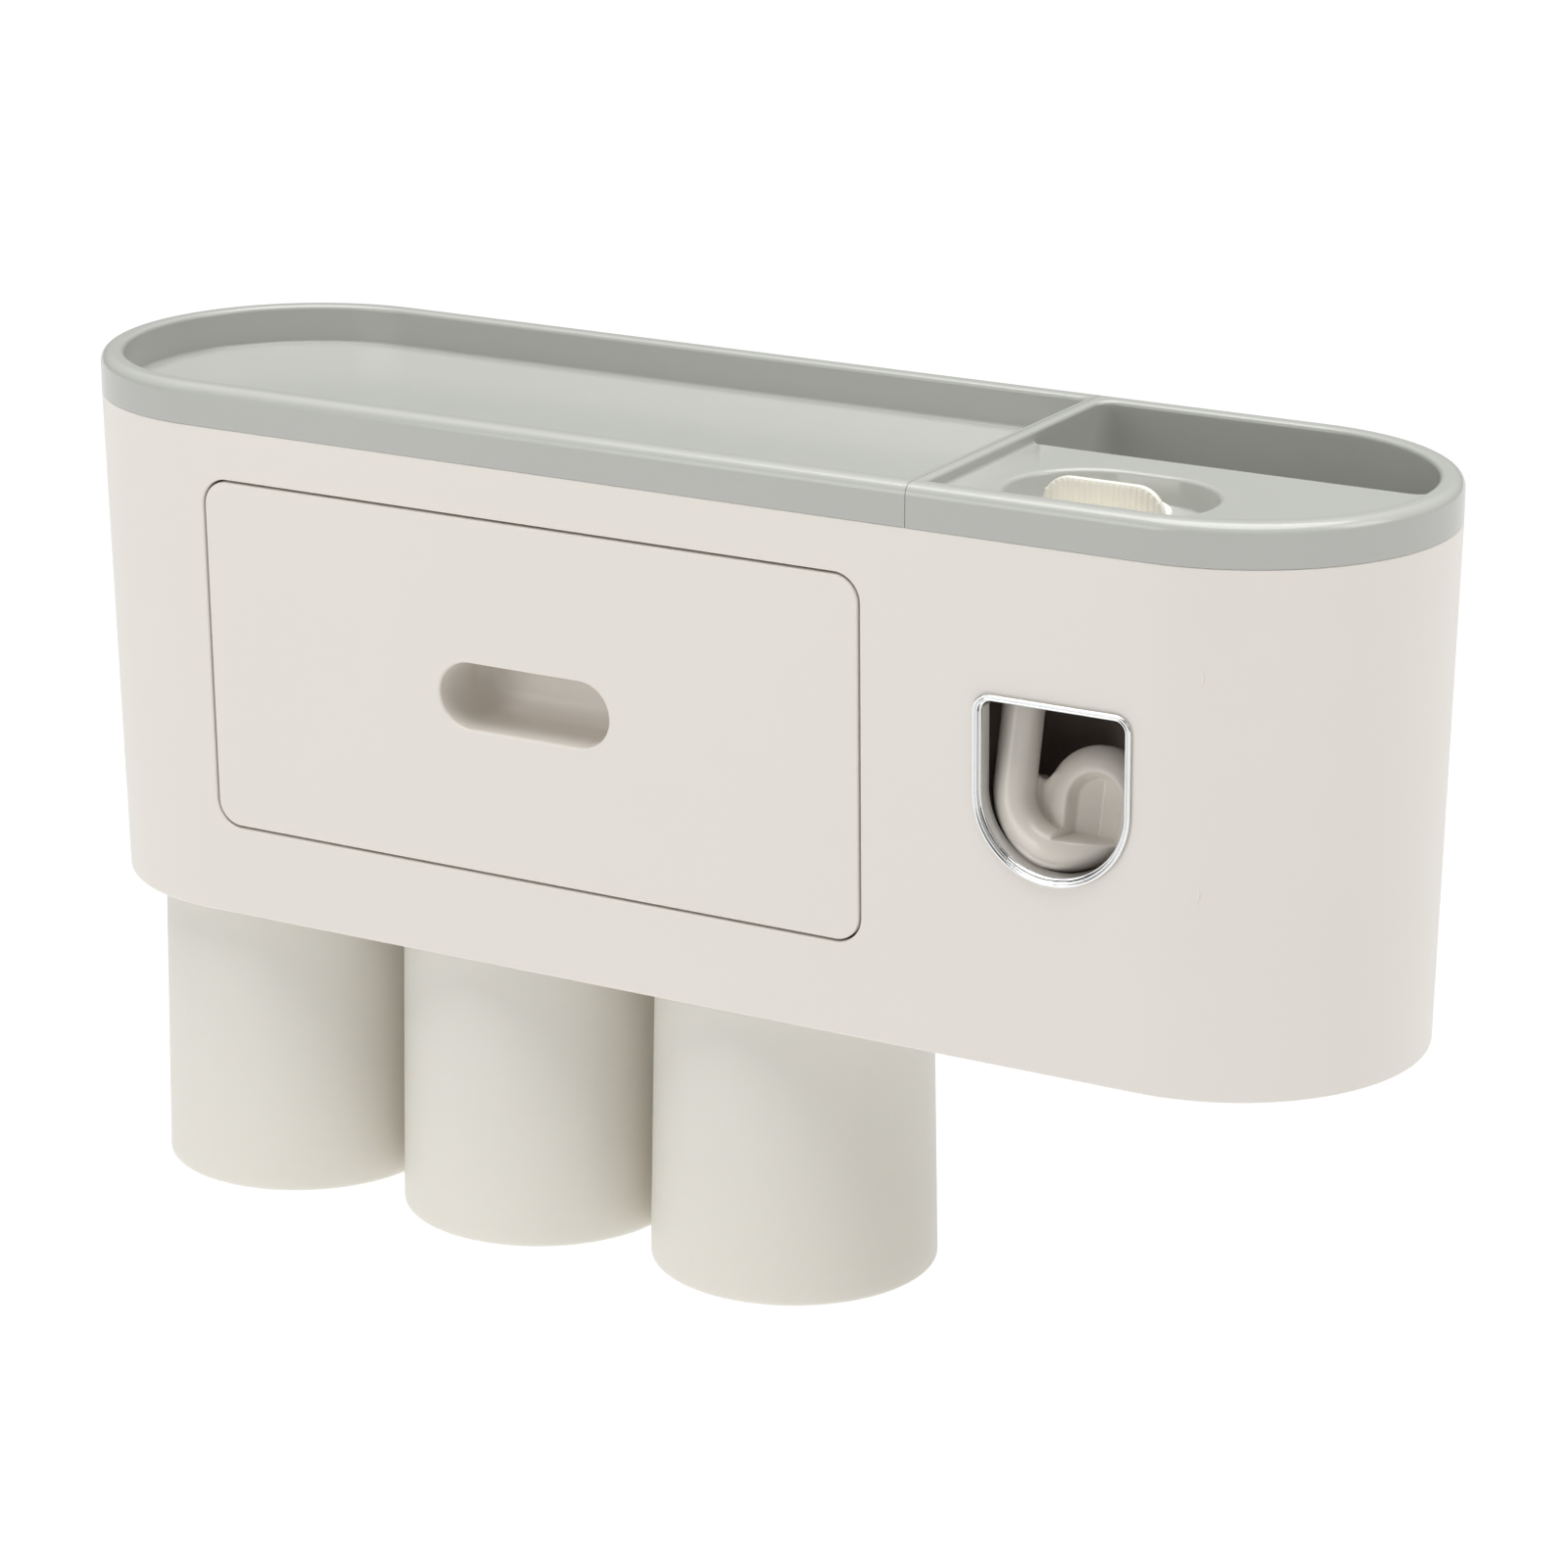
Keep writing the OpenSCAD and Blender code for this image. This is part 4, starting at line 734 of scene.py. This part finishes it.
def make_right_tray():
    skin = Skin()

    def put(u, y, z):
        return SEAM_X + u, y, z

    end_x, divider = AXIS_X - SEAM_X, DIVIDER_RIGHT

    # The pocket's rounded corner, tangent to the dish's end
    centre_y = POCKET_FRONT + POCKET_CORNER
    reach = DISH_R - POCKET_CORNER
    centre_u = end_x + math.sqrt(reach ** 2 - (centre_y - MID_Y) ** 2)
    touch = math.degrees(math.atan2(centre_y - MID_Y, centre_u - end_x))

    plan = dish_plan(end_x, divider, POCKET_CORNER, touch)
    wall, under = rim_rows(skin, put, plan, end_x, PLATFORM - TRAY_T)

    # Where the platform meets the wall, from the divider round the front to the pocket's corner
    rows = []
    for inset, drop in fillet_steps(FILLET):
        r = DISH_R - inset
        cosine = (reach ** 2 + r ** 2 - POCKET_CORNER ** 2) / (2 * reach * r)
        back = math.degrees(math.acos(min(1, cosine)))
        c = DISH_CORNER
        row = [(divider + inset, POCKET_FRONT)]
        row += arc(divider + c, MID_Y - DISH_R + c, c - inset, 180, 270, SHORT)
        row += arc(end_x, MID_Y, r, -90, touch - back, DISH_FRONT_STEPS)
        rows.append([(u, y, PLATFORM + drop) for u, y in row])
    fillet = skin.rings([[put(*p) for p in row] for row in rows], closed=False)
    base = skin.ring([put(u, y, PLATFORM + FILLET) for (u, y), _, _ in plan])
    skin.strip(wall, base)

    # The pocket's front edge, rounded where it crosses the platform
    first, last = rows[-1][0], rows[-1][-1]
    turn_end = math.degrees(math.atan2(last[1] - centre_y, last[0] - centre_u))
    edge = []
    for i in range(EDGE_POINTS):
        u = first[0] + EDGE_START + (centre_u - first[0] - EDGE_START) * i / EDGE_POINTS
        edge.append((u, POCKET_FRONT, 0, -1, min(1.0, EDGE_SHARE + i)))
    corner = arc(centre_u, centre_y, POCKET_CORNER, -90, turn_end, SHORT)[:-1]
    for i, (u, y) in enumerate(corner):
        nu, nv = (u - centre_u) / POCKET_CORNER, (y - centre_y) / POCKET_CORNER
        edge.append((u, y, nu, nv, 1 - i / len(corner)))
    chains = []
    for inset, drop in quarter(POCKET_EDGE):
        points = [(u + nu * inset * s, y + nv * inset * s, PLATFORM - drop * s)
                  for u, y, nu, nv, s in edge]
        chains.append([first] + points + [last])
    made = skin.rings([[put(*p) for p in chain] for chain in chains], closed=False)

    # The well in the platform
    rim = [(WELL_R + inset, PLATFORM - drop) for inset, drop in quarter(WELL_EDGE)]
    foot = [(WELL_R - WELL_TAPER - inset, WELL_FLOOR + drop) for inset, drop in fillet_steps(FILLET)]
    well = skin.rings([stadium(r, z, WELL_HALF, WELL) for r, z in rim + foot])
    socket = skin.rings([circle(*SOCKET, z) for z in (WELL_FLOOR, WELL_FLOOR - TRAY_T)])
    skin.sheet(well[-1], socket[0])
    skin.sheet(fillet[-1] + list(reversed(made[0]))[1:-1], well[0])

    # The pocket: its plan with outward directions, then its walls and floor
    down = math.radians(-90)
    pocket = [(*row[0], down) for row in rows]
    pocket += [(u, y, PLATFORM - POCKET_EDGE * s, math.atan2(nv, nu)) for u, y, nu, nv, s in edge]
    for row in reversed(rows):
        u, y, z = row[-1]
        pocket.append((u, y, z, math.atan2(y - centre_y, u - centre_u)))
    for (u, y), out, _ in plan[FRONT_COUNT:]:
        pocket.append((u, y, PLATFORM + FILLET, math.radians(out)))
    pocket.append((divider, POCKET_FRONT, PLATFORM + FILLET, math.pi))

    def pocket_row(grow, z):
        row = []
        for u, y, top, out in pocket:
            u, y = u + grow * math.cos(out), y + grow * math.sin(out)
            if grow < 0:
                u, y = max(u, divider - grow), max(y, POCKET_FRONT - grow)
            row.append(put(u, y, top if z is None else z))
        return row

    inside = [pocket_row(-inset, POCKET_FLOOR + drop) for inset, drop in fillet_steps(FILLET)]
    inside = skin.rings([pocket_row(0, None)] + inside)
    skin.sheet(inside[-1])
    shell_rows = skin.rings([pocket_row(POCKET_T, z)
                             for z in (PLATFORM - TRAY_T, POCKET_FLOOR - TRAY_T)])
    skin.sheet(shell_rows[-1])
    well_rows = skin.rings([stadium(WELL_R + TRAY_T, z, WELL_HALF, WELL)
                            for z in (PLATFORM - TRAY_T, WELL_FLOOR - TRAY_T)])
    skin.sheet(well_rows[-1], socket[1])
    skin.sheet(under, shell_rows[0], well_rows[0])
    return skin


make_left_tray().build("tray_left", GREY, "holder", "grey_green_plastic", "left_tray")
make_right_tray().build("tray_right", GREY, "holder", "grey_green_plastic", "right_tray")


# Drawer front with its finger pull
def make_drawer_front():
    skin = Skin()

    def panel(inset, depth):
        w, h, r = DRAWER_W - 2 * inset, DRAWER_H - 2 * inset, DRAWER_CORNER - inset
        return [(x, front_y(z) + depth, z) for x, z in rounded(DRAWER_X, DRAWER_Z, w, h, r)]

    def pull(grow, y):
        half, r = (PULL_W - PULL_H) / 2, PULL_H / 2 + grow
        turns = arc(DRAWER_X + half, DRAWER_Z, r, -90, 90, 2 * SHORT)
        turns += arc(DRAWER_X - half, DRAWER_Z, r, 90, 270, 2 * SHORT)
        return [(x, y(z), z) for x, z in turns]

    steps = [panel(*step) for step in quarter(HOLE_EDGE, HOLE_STEPS)]
    panel_rows = skin.rings(steps + [panel(0, WALL)])
    rows = [pull(inset, lambda z, d=drop: front_y(z) + d) for inset, drop in quarter(PULL_LIP)]
    bottom = front_y(SHELL_TOP) + PULL_DEPTH
    rows += [pull(-inset, lambda z, d=drop: bottom - d)
             for inset, drop in fillet_steps(PULL_FILLET, PULL_STEPS)]
    pull_rows = skin.rings(rows)
    skin.sheet(panel_rows[0], pull_rows[0])
    skin.sheet(pull_rows[-1])
    back = skin.rings([pull(PULL_WALL, lambda z: front_y(z) + WALL),
                       pull(PULL_WALL, lambda z: bottom + PULL_WALL)])
    skin.sheet(panel_rows[-1], back[0])
    skin.sheet(back[-1])

    # Pegs that hold the face to the box
    end = span("drawer_box", 1)[0] + DRAWER_PEG_SEAT
    for sx in (-1, 1):
        for sz in (-1, 1):
            z = DRAWER_Z + sz * DRAWER_PEG_Z
            skin.peg(DRAWER_X + sx * DRAWER_PEG_X, z, front_y(z) + WALL - BOND, end, DRAWER_PEG_R)
    return skin


make_drawer_front().build("drawer_face", WHITE, "drawer", "white_plastic", "drawer_front")


# Trim: a sleeve through the front, a step and two beads on its face
def make_trim():
    def bead(low, high, top, r):
        turns = [math.pi / 2 * i / FINE for i in range(FINE + 1)]
        return ([(low + r - r * math.cos(a), top - r + r * math.sin(a)) for a in turns] +
                [(high - r + r * math.sin(a), top - r + r * math.cos(a)) for a in turns])

    section = [*TRIM_STEP, *bead(*INNER_BEAD), TRIM_GROOVE, *bead(*OUTER_BEAD), *TRIM_FOOT]
    skin = Skin()
    rows = skin.rings([[on_front(u, v, out) for u, v in window(grow)] for grow, out in section])
    skin.strip(rows[-1], rows[0])
    return skin


make_trim().build("trim_ring", CHROME, "holder", "chrome", "window_trim", sharp=50)


# Cups, mouth down
def make_cup(node):
    low, high = (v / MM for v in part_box(node))
    x, y = (low.x + high.x) / 2, (low.y + high.y) / 2
    mouth_r = (high.x - low.x) / 2
    base_r = mouth_r - CUP_TAPER
    lip, floor = CUP_T / 2, high.z - CUP_BASE_T
    outer, inner = CUP_BASE_EDGE, CUP_INNER_EDGE
    section = [(0, high.z - DISC_T), (DISC_R, high.z - DISC_T), (DISC_R, high.z)]
    section += arc(base_r - outer, high.z - outer, outer, 90, 0, 2 * FINE)
    section += arc(mouth_r - lip, low.z + lip, lip, 0, -180, 3 * FINE)
    section += arc(base_r - CUP_T - inner, floor - inner, inner, 0, 90, 2 * FINE)
    section.append((0, floor))
    skin = Skin()
    skin.lathe(x, y, section)
    return skin


for where in ("left", "middle", "right"):
    cup = make_cup("cup_" + where)
    cup.build("cup_%s_body" % where, CREAM, where + "_cup", "cream_plastic", "cup_" + where)


# Lever: a round hook melted into a dished pad, drawn from its pivot in its own leaning frame
def add_hook(skin):
    """Down the left, round below and up into the pad, sinking as it rises."""
    path = [((HOOK_X - HOOK_R, z), (1, 0), HOOK_Y, LIMB_R) for z in LIMB_HEIGHTS]
    for i in range(HOOK_POINTS):
        turn = math.radians(180 + HOOK_STEP * i)
        sink = ease((i - SINK_START) / SINK_POINTS)
        out = (-math.cos(turn), -math.sin(turn))
        point = (HOOK_X + HOOK_R * math.cos(turn), HOOK_Z + HOOK_R * math.sin(turn))
        path.append((point, out, HOOK_Y + SINK * sink, LIMB_R - SINK_THIN * sink))
    skin.solid([[(x + ox * r * math.cos(a), y + r * math.sin(a), z + oz * r * math.cos(a))
                 for a in around(LIMB_SIDES)] for (x, z), (ox, oz), y, r in path])


def add_pad(skin):
    """Crowned at the front and rounded at its edge."""
    rows = [(PAD_R * share, PAD_Y - CROWN + CROWN_FALL * share ** CROWN_POWER)
            for share in PAD_SHARES]
    rows += [(PAD_R, PAD_Y + PAD_T - PAD_BACK_EDGE), (PAD_R - PAD_BACK_IN, PAD_Y + PAD_T),
             (PAD_CENTRE, PAD_Y + PAD_T)]
    skin.solid([[(PAD_X + r * math.cos(a), y, PAD_Z + r * math.sin(a)) for a in around(PAD_SIDES)]
                for r, y in rows])


def add_web(skin):
    """Between the hook's inside and the pad."""
    web = [(HOOK_X + HOOK_R * math.cos(a), HOOK_Z + HOOK_R * math.sin(a))
           for a in [math.pi * (1 + k / WEB_STEPS) for k in range(WEB_POINTS)]]
    limb = HOOK_X - HOOK_R + LIMB_R
    web += [(WEB_X, HOOK_Z - WEB_DROP), (WEB_X, WEB_TOP + WEB_RISE)]
    web += [(limb + x, WEB_TOP + z) for x, z in CROTCH]
    web += [(HOOK_X - HOOK_R, WEB_TOP + WEB_SHOULDER)]
    skin.solid([[(x, y, z) for x, z in web] for y in (PAD_Y + WEB_FRONT, PAD_Y + WEB_BACK)])


def add_arms(skin):
    """Hubs on the pin, arms and the bridge that lifts the plunger."""
    def rod(x0, x1, y, r):
        return [[(x, y + r * math.cos(a), r * math.sin(a)) for a in around(ROD_SIDES)]
                for x in (x0, x1)]

    for side in (-1, 1):
        low, high = side * HUB_X - HUB_HALF, side * HUB_X + HUB_HALF
        hub = skin.rings(rod(low, high, 0, HUB_R) + rod(high, low, 0, PIN_BORE))
        skin.strip(hub[-1], hub[0])
        near, far = sorted((side * ARM_NEAR, side * ARM_FAR))
        low, high = -ARM_HALF, ARM_HALF
        skin.solid([[(near, y, low), (far, y, low), (far, y, high), (near, y, high)]
                    for y in (ARM_START, ARM_L)])
    skin.solid(rod(-ARM_FAR, ARM_FAR, ARM_L, ARM_HALF))


def press_dish(mesh):
    """Presses the dish into the pad, deepest along an upright line."""
    for vert in mesh.vertices:
        x, y, z = vert.co / MM
        if y >= PAD_Y + DISH_REACH:
            continue
        side, up = x - DISH_X, z - DISH_Z
        edge = DISH_SPAN - (math.hypot(side, up) if up > 0 else abs(side))
        edge = min(edge, (z - DISH_LOW) * DISH_STEEP)
        side -= DISH_LINE
        rise = DISH_RISE_LEFT if side < 0 else DISH_RISE_RIGHT
        bottom = PAD_Y + DISH_FLOOR - abs(side) * rise
        if bottom > y:
            vert.co.y += (bottom - y) * ease((edge + DISH_SOFT) / DISH_SOFT_W) * MM


def make_lever():
    skin = Skin()
    for add_part in (add_hook, add_pad, add_web, add_arms):
        add_part(skin)
    bmesh.ops.recalc_face_normals(skin.bm, faces=skin.bm.faces)
    mesh = melted("lever_body", skin.mesh("lever_raw"), MELT, MELT_PASSES)
    press_dish(mesh)

    lean = math.radians(LEVER_LEAN)
    pivot = Vector((WINDOW_X, middle("lever_pin", 1), middle("lever_pin", 2)))
    back = Vector((0, math.cos(lean), -math.sin(lean)))
    up = Vector((0, math.sin(lean), math.cos(lean)))
    for vert in mesh.vertices:
        x, y, z = vert.co / MM
        vert.co = (pivot + Vector((x, 0, 0)) + back * y + up * z) * MM
    add("lever_body", mesh, SHADED_LEVER_WHITE, "lever", "white_plastic", "push_lever")


make_lever()


# Plug: a stem and flange, and a flat fin with fine ribs up to its edge
def make_plug():
    low, high = (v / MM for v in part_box("inlet_cap"))
    base = high.z - FIN_H
    groove_z = (low.z + base) / 2
    skin = Skin()
    section = [(0, low.z), (STEM_R - STEM_EDGE, low.z), (STEM_R, low.z + STEM_EDGE)]
    section += [(STEM_R, groove_z - STEM_GROOVE), (STEM_R - STEM_GROOVE, groove_z - STEM_GROOVE),
                (STEM_R - STEM_GROOVE, groove_z + STEM_GROOVE), (STEM_R, groove_z + STEM_GROOVE),
                (STEM_R, base), (FLANGE_R, base)]
    top = base + FLANGE_T
    section += arc(FLANGE_R - FLANGE_EDGE, top - FLANGE_EDGE, FLANGE_EDGE, 0, 90, FINE) + [(0, top)]
    skin.lathe(SOCKET[0], SOCKET[1], section, PLUG_SIDES)

    front = SOCKET[1] - FIN_AHEAD - FIN_T / 2

    def fin(inset, y):
        half, r, foot = FIN_W / 2 - inset, FIN_CORNER - inset, base + FIN_SUNK
        points = [(half, foot)] + arc(half - r, high.z - inset - r, r, 0, 90, SHORT)
        points += arc(r - half, high.z - inset - r, r, 90, 180, SHORT) + [(-half, foot)]
        return [(SOCKET[0] + u, y, z) for u, z in points]

    skin.solid([fin(inset, front + drop) for inset, drop in quarter(FIN_FRONT_EDGE)] +
               [fin(inset, front + FIN_T - drop) for inset, drop in fillet_steps(FIN_BACK_EDGE)])

    # Each rib runs up to the fin's edge and is rounded off there
    turns = [math.pi * k / RIB_STEPS for k in range(RIB_STEPS + 1)]
    for i in range(RIBS):
        u = (FIN_W / 2 - RIB_MARGIN) * (2 * i / (RIBS - 1) - 1)
        over = max(0.0, abs(u) - (FIN_W / 2 - FIN_CORNER))
        tip = high.z - FIN_CORNER + math.sqrt(FIN_CORNER ** 2 - over ** 2) - RIB_SHORT
        ends = [(1, top - RIB_FOOT)] + [(share, tip - drop) for share, drop in RIB_ENDS]
        skin.solid([[(SOCKET[0] + u + RIB_R * math.cos(a),
                      front + RIB_SUNK - RIB_OUT * share * math.sin(a), z) for a in turns]
                    for share, z in ends])
    return skin


make_plug().build("plug_body", IVORY, "inlet_plug", "ivory_plastic", "inlet_cap", sharp=40)


# Return spring, which shortens as the plunger rises towards its fixed upper end; here a still copy of
# its mesh on the holder
def make_spring():
    mesh = frame["nodes"]["return_spring"].data.copy()
    coil = add("spring_coil", mesh, STEEL, "holder", "steel", "return_spring")
    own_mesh(coil)


make_spring()


# Studio: a pale floor far below, a bright room, a large light above and one at each side
LENS, SENSOR, CLIP_END = 112.78, 36, 100
CAMERA_PLACE, CAMERA_DOWN, CAMERA_TURN = (0.5426, -0.98627, 0.32675), 0.3115, 0.5168
FLOOR_HALF, FLOOR_Z, FLOOR_PAINT = 20000, -700, (0.82, 0.82, 0.82)
ROOM_COLOUR, ROOM_STRENGTH = (1, 1, 1, 1), 0.15
SUN_STRENGTH, SUN_SPREAD = 3.65, 60

# Each softbox has its place, what it aims at, its size and its power
SOFTBOXES = {"left": ((-0.44, -1.22, 0.28), (-0.05, -0.09, 0), (0.6, 0.6), 3.5),
             "right": ((1.0, 0.05, 0.7), (0.15, -0.05, 0), (0.5, 0.5), 2.8)}


def camera():
    data = bpy.data.cameras.new("camera")
    data.lens = LENS
    data.sensor_width = SENSOR
    data.clip_end = CLIP_END
    view = place("camera", data)
    view.location = CAMERA_PLACE
    view.rotation_euler = (math.pi / 2 - CAMERA_DOWN, 0, CAMERA_TURN)
    bpy.context.scene.camera = view


def softbox(name, position, aim, size, power):
    data = bpy.data.lights.new(name, "AREA")
    data.shape = "RECTANGLE"
    data.size, data.size_y = size
    data.energy = power
    light = place(name, data)
    light.location = position
    light.rotation_euler = (Vector(aim) - Vector(position)).to_track_quat("-Z", "Y").to_euler()


def overhead():
    """Soft light straight from above, the same everywhere."""
    data = bpy.data.lights.new("overhead", "SUN")
    data.energy = SUN_STRENGTH
    data.angle = math.radians(SUN_SPREAD)
    place("overhead", data)


def floor():
    skin = Skin()
    corners = ((-1, -1), (1, -1), (1, 1), (-1, 1))
    skin.bm.faces.new(skin.ring([(x * FLOOR_HALF, y * FLOOR_HALF, FLOOR_Z) for x, y in corners]))
    plane = place("floor", skin.mesh("floor"))
    plane.data.materials.append(plastic("floor_paint", FLOOR_PAINT, 0.7, mottle=0.002))


def room():
    world = bpy.data.worlds.new("room")
    bpy.context.scene.world = world
    world.use_nodes = True
    background = world.node_tree.nodes["Background"]
    background.inputs["Color"].default_value = ROOM_COLOUR
    background.inputs["Strength"].default_value = ROOM_STRENGTH


camera()
floor()
room()
overhead()
for where, settings in SOFTBOXES.items():
    softbox(where, *settings)
bpy.context.scene.view_settings.view_transform = "Standard"
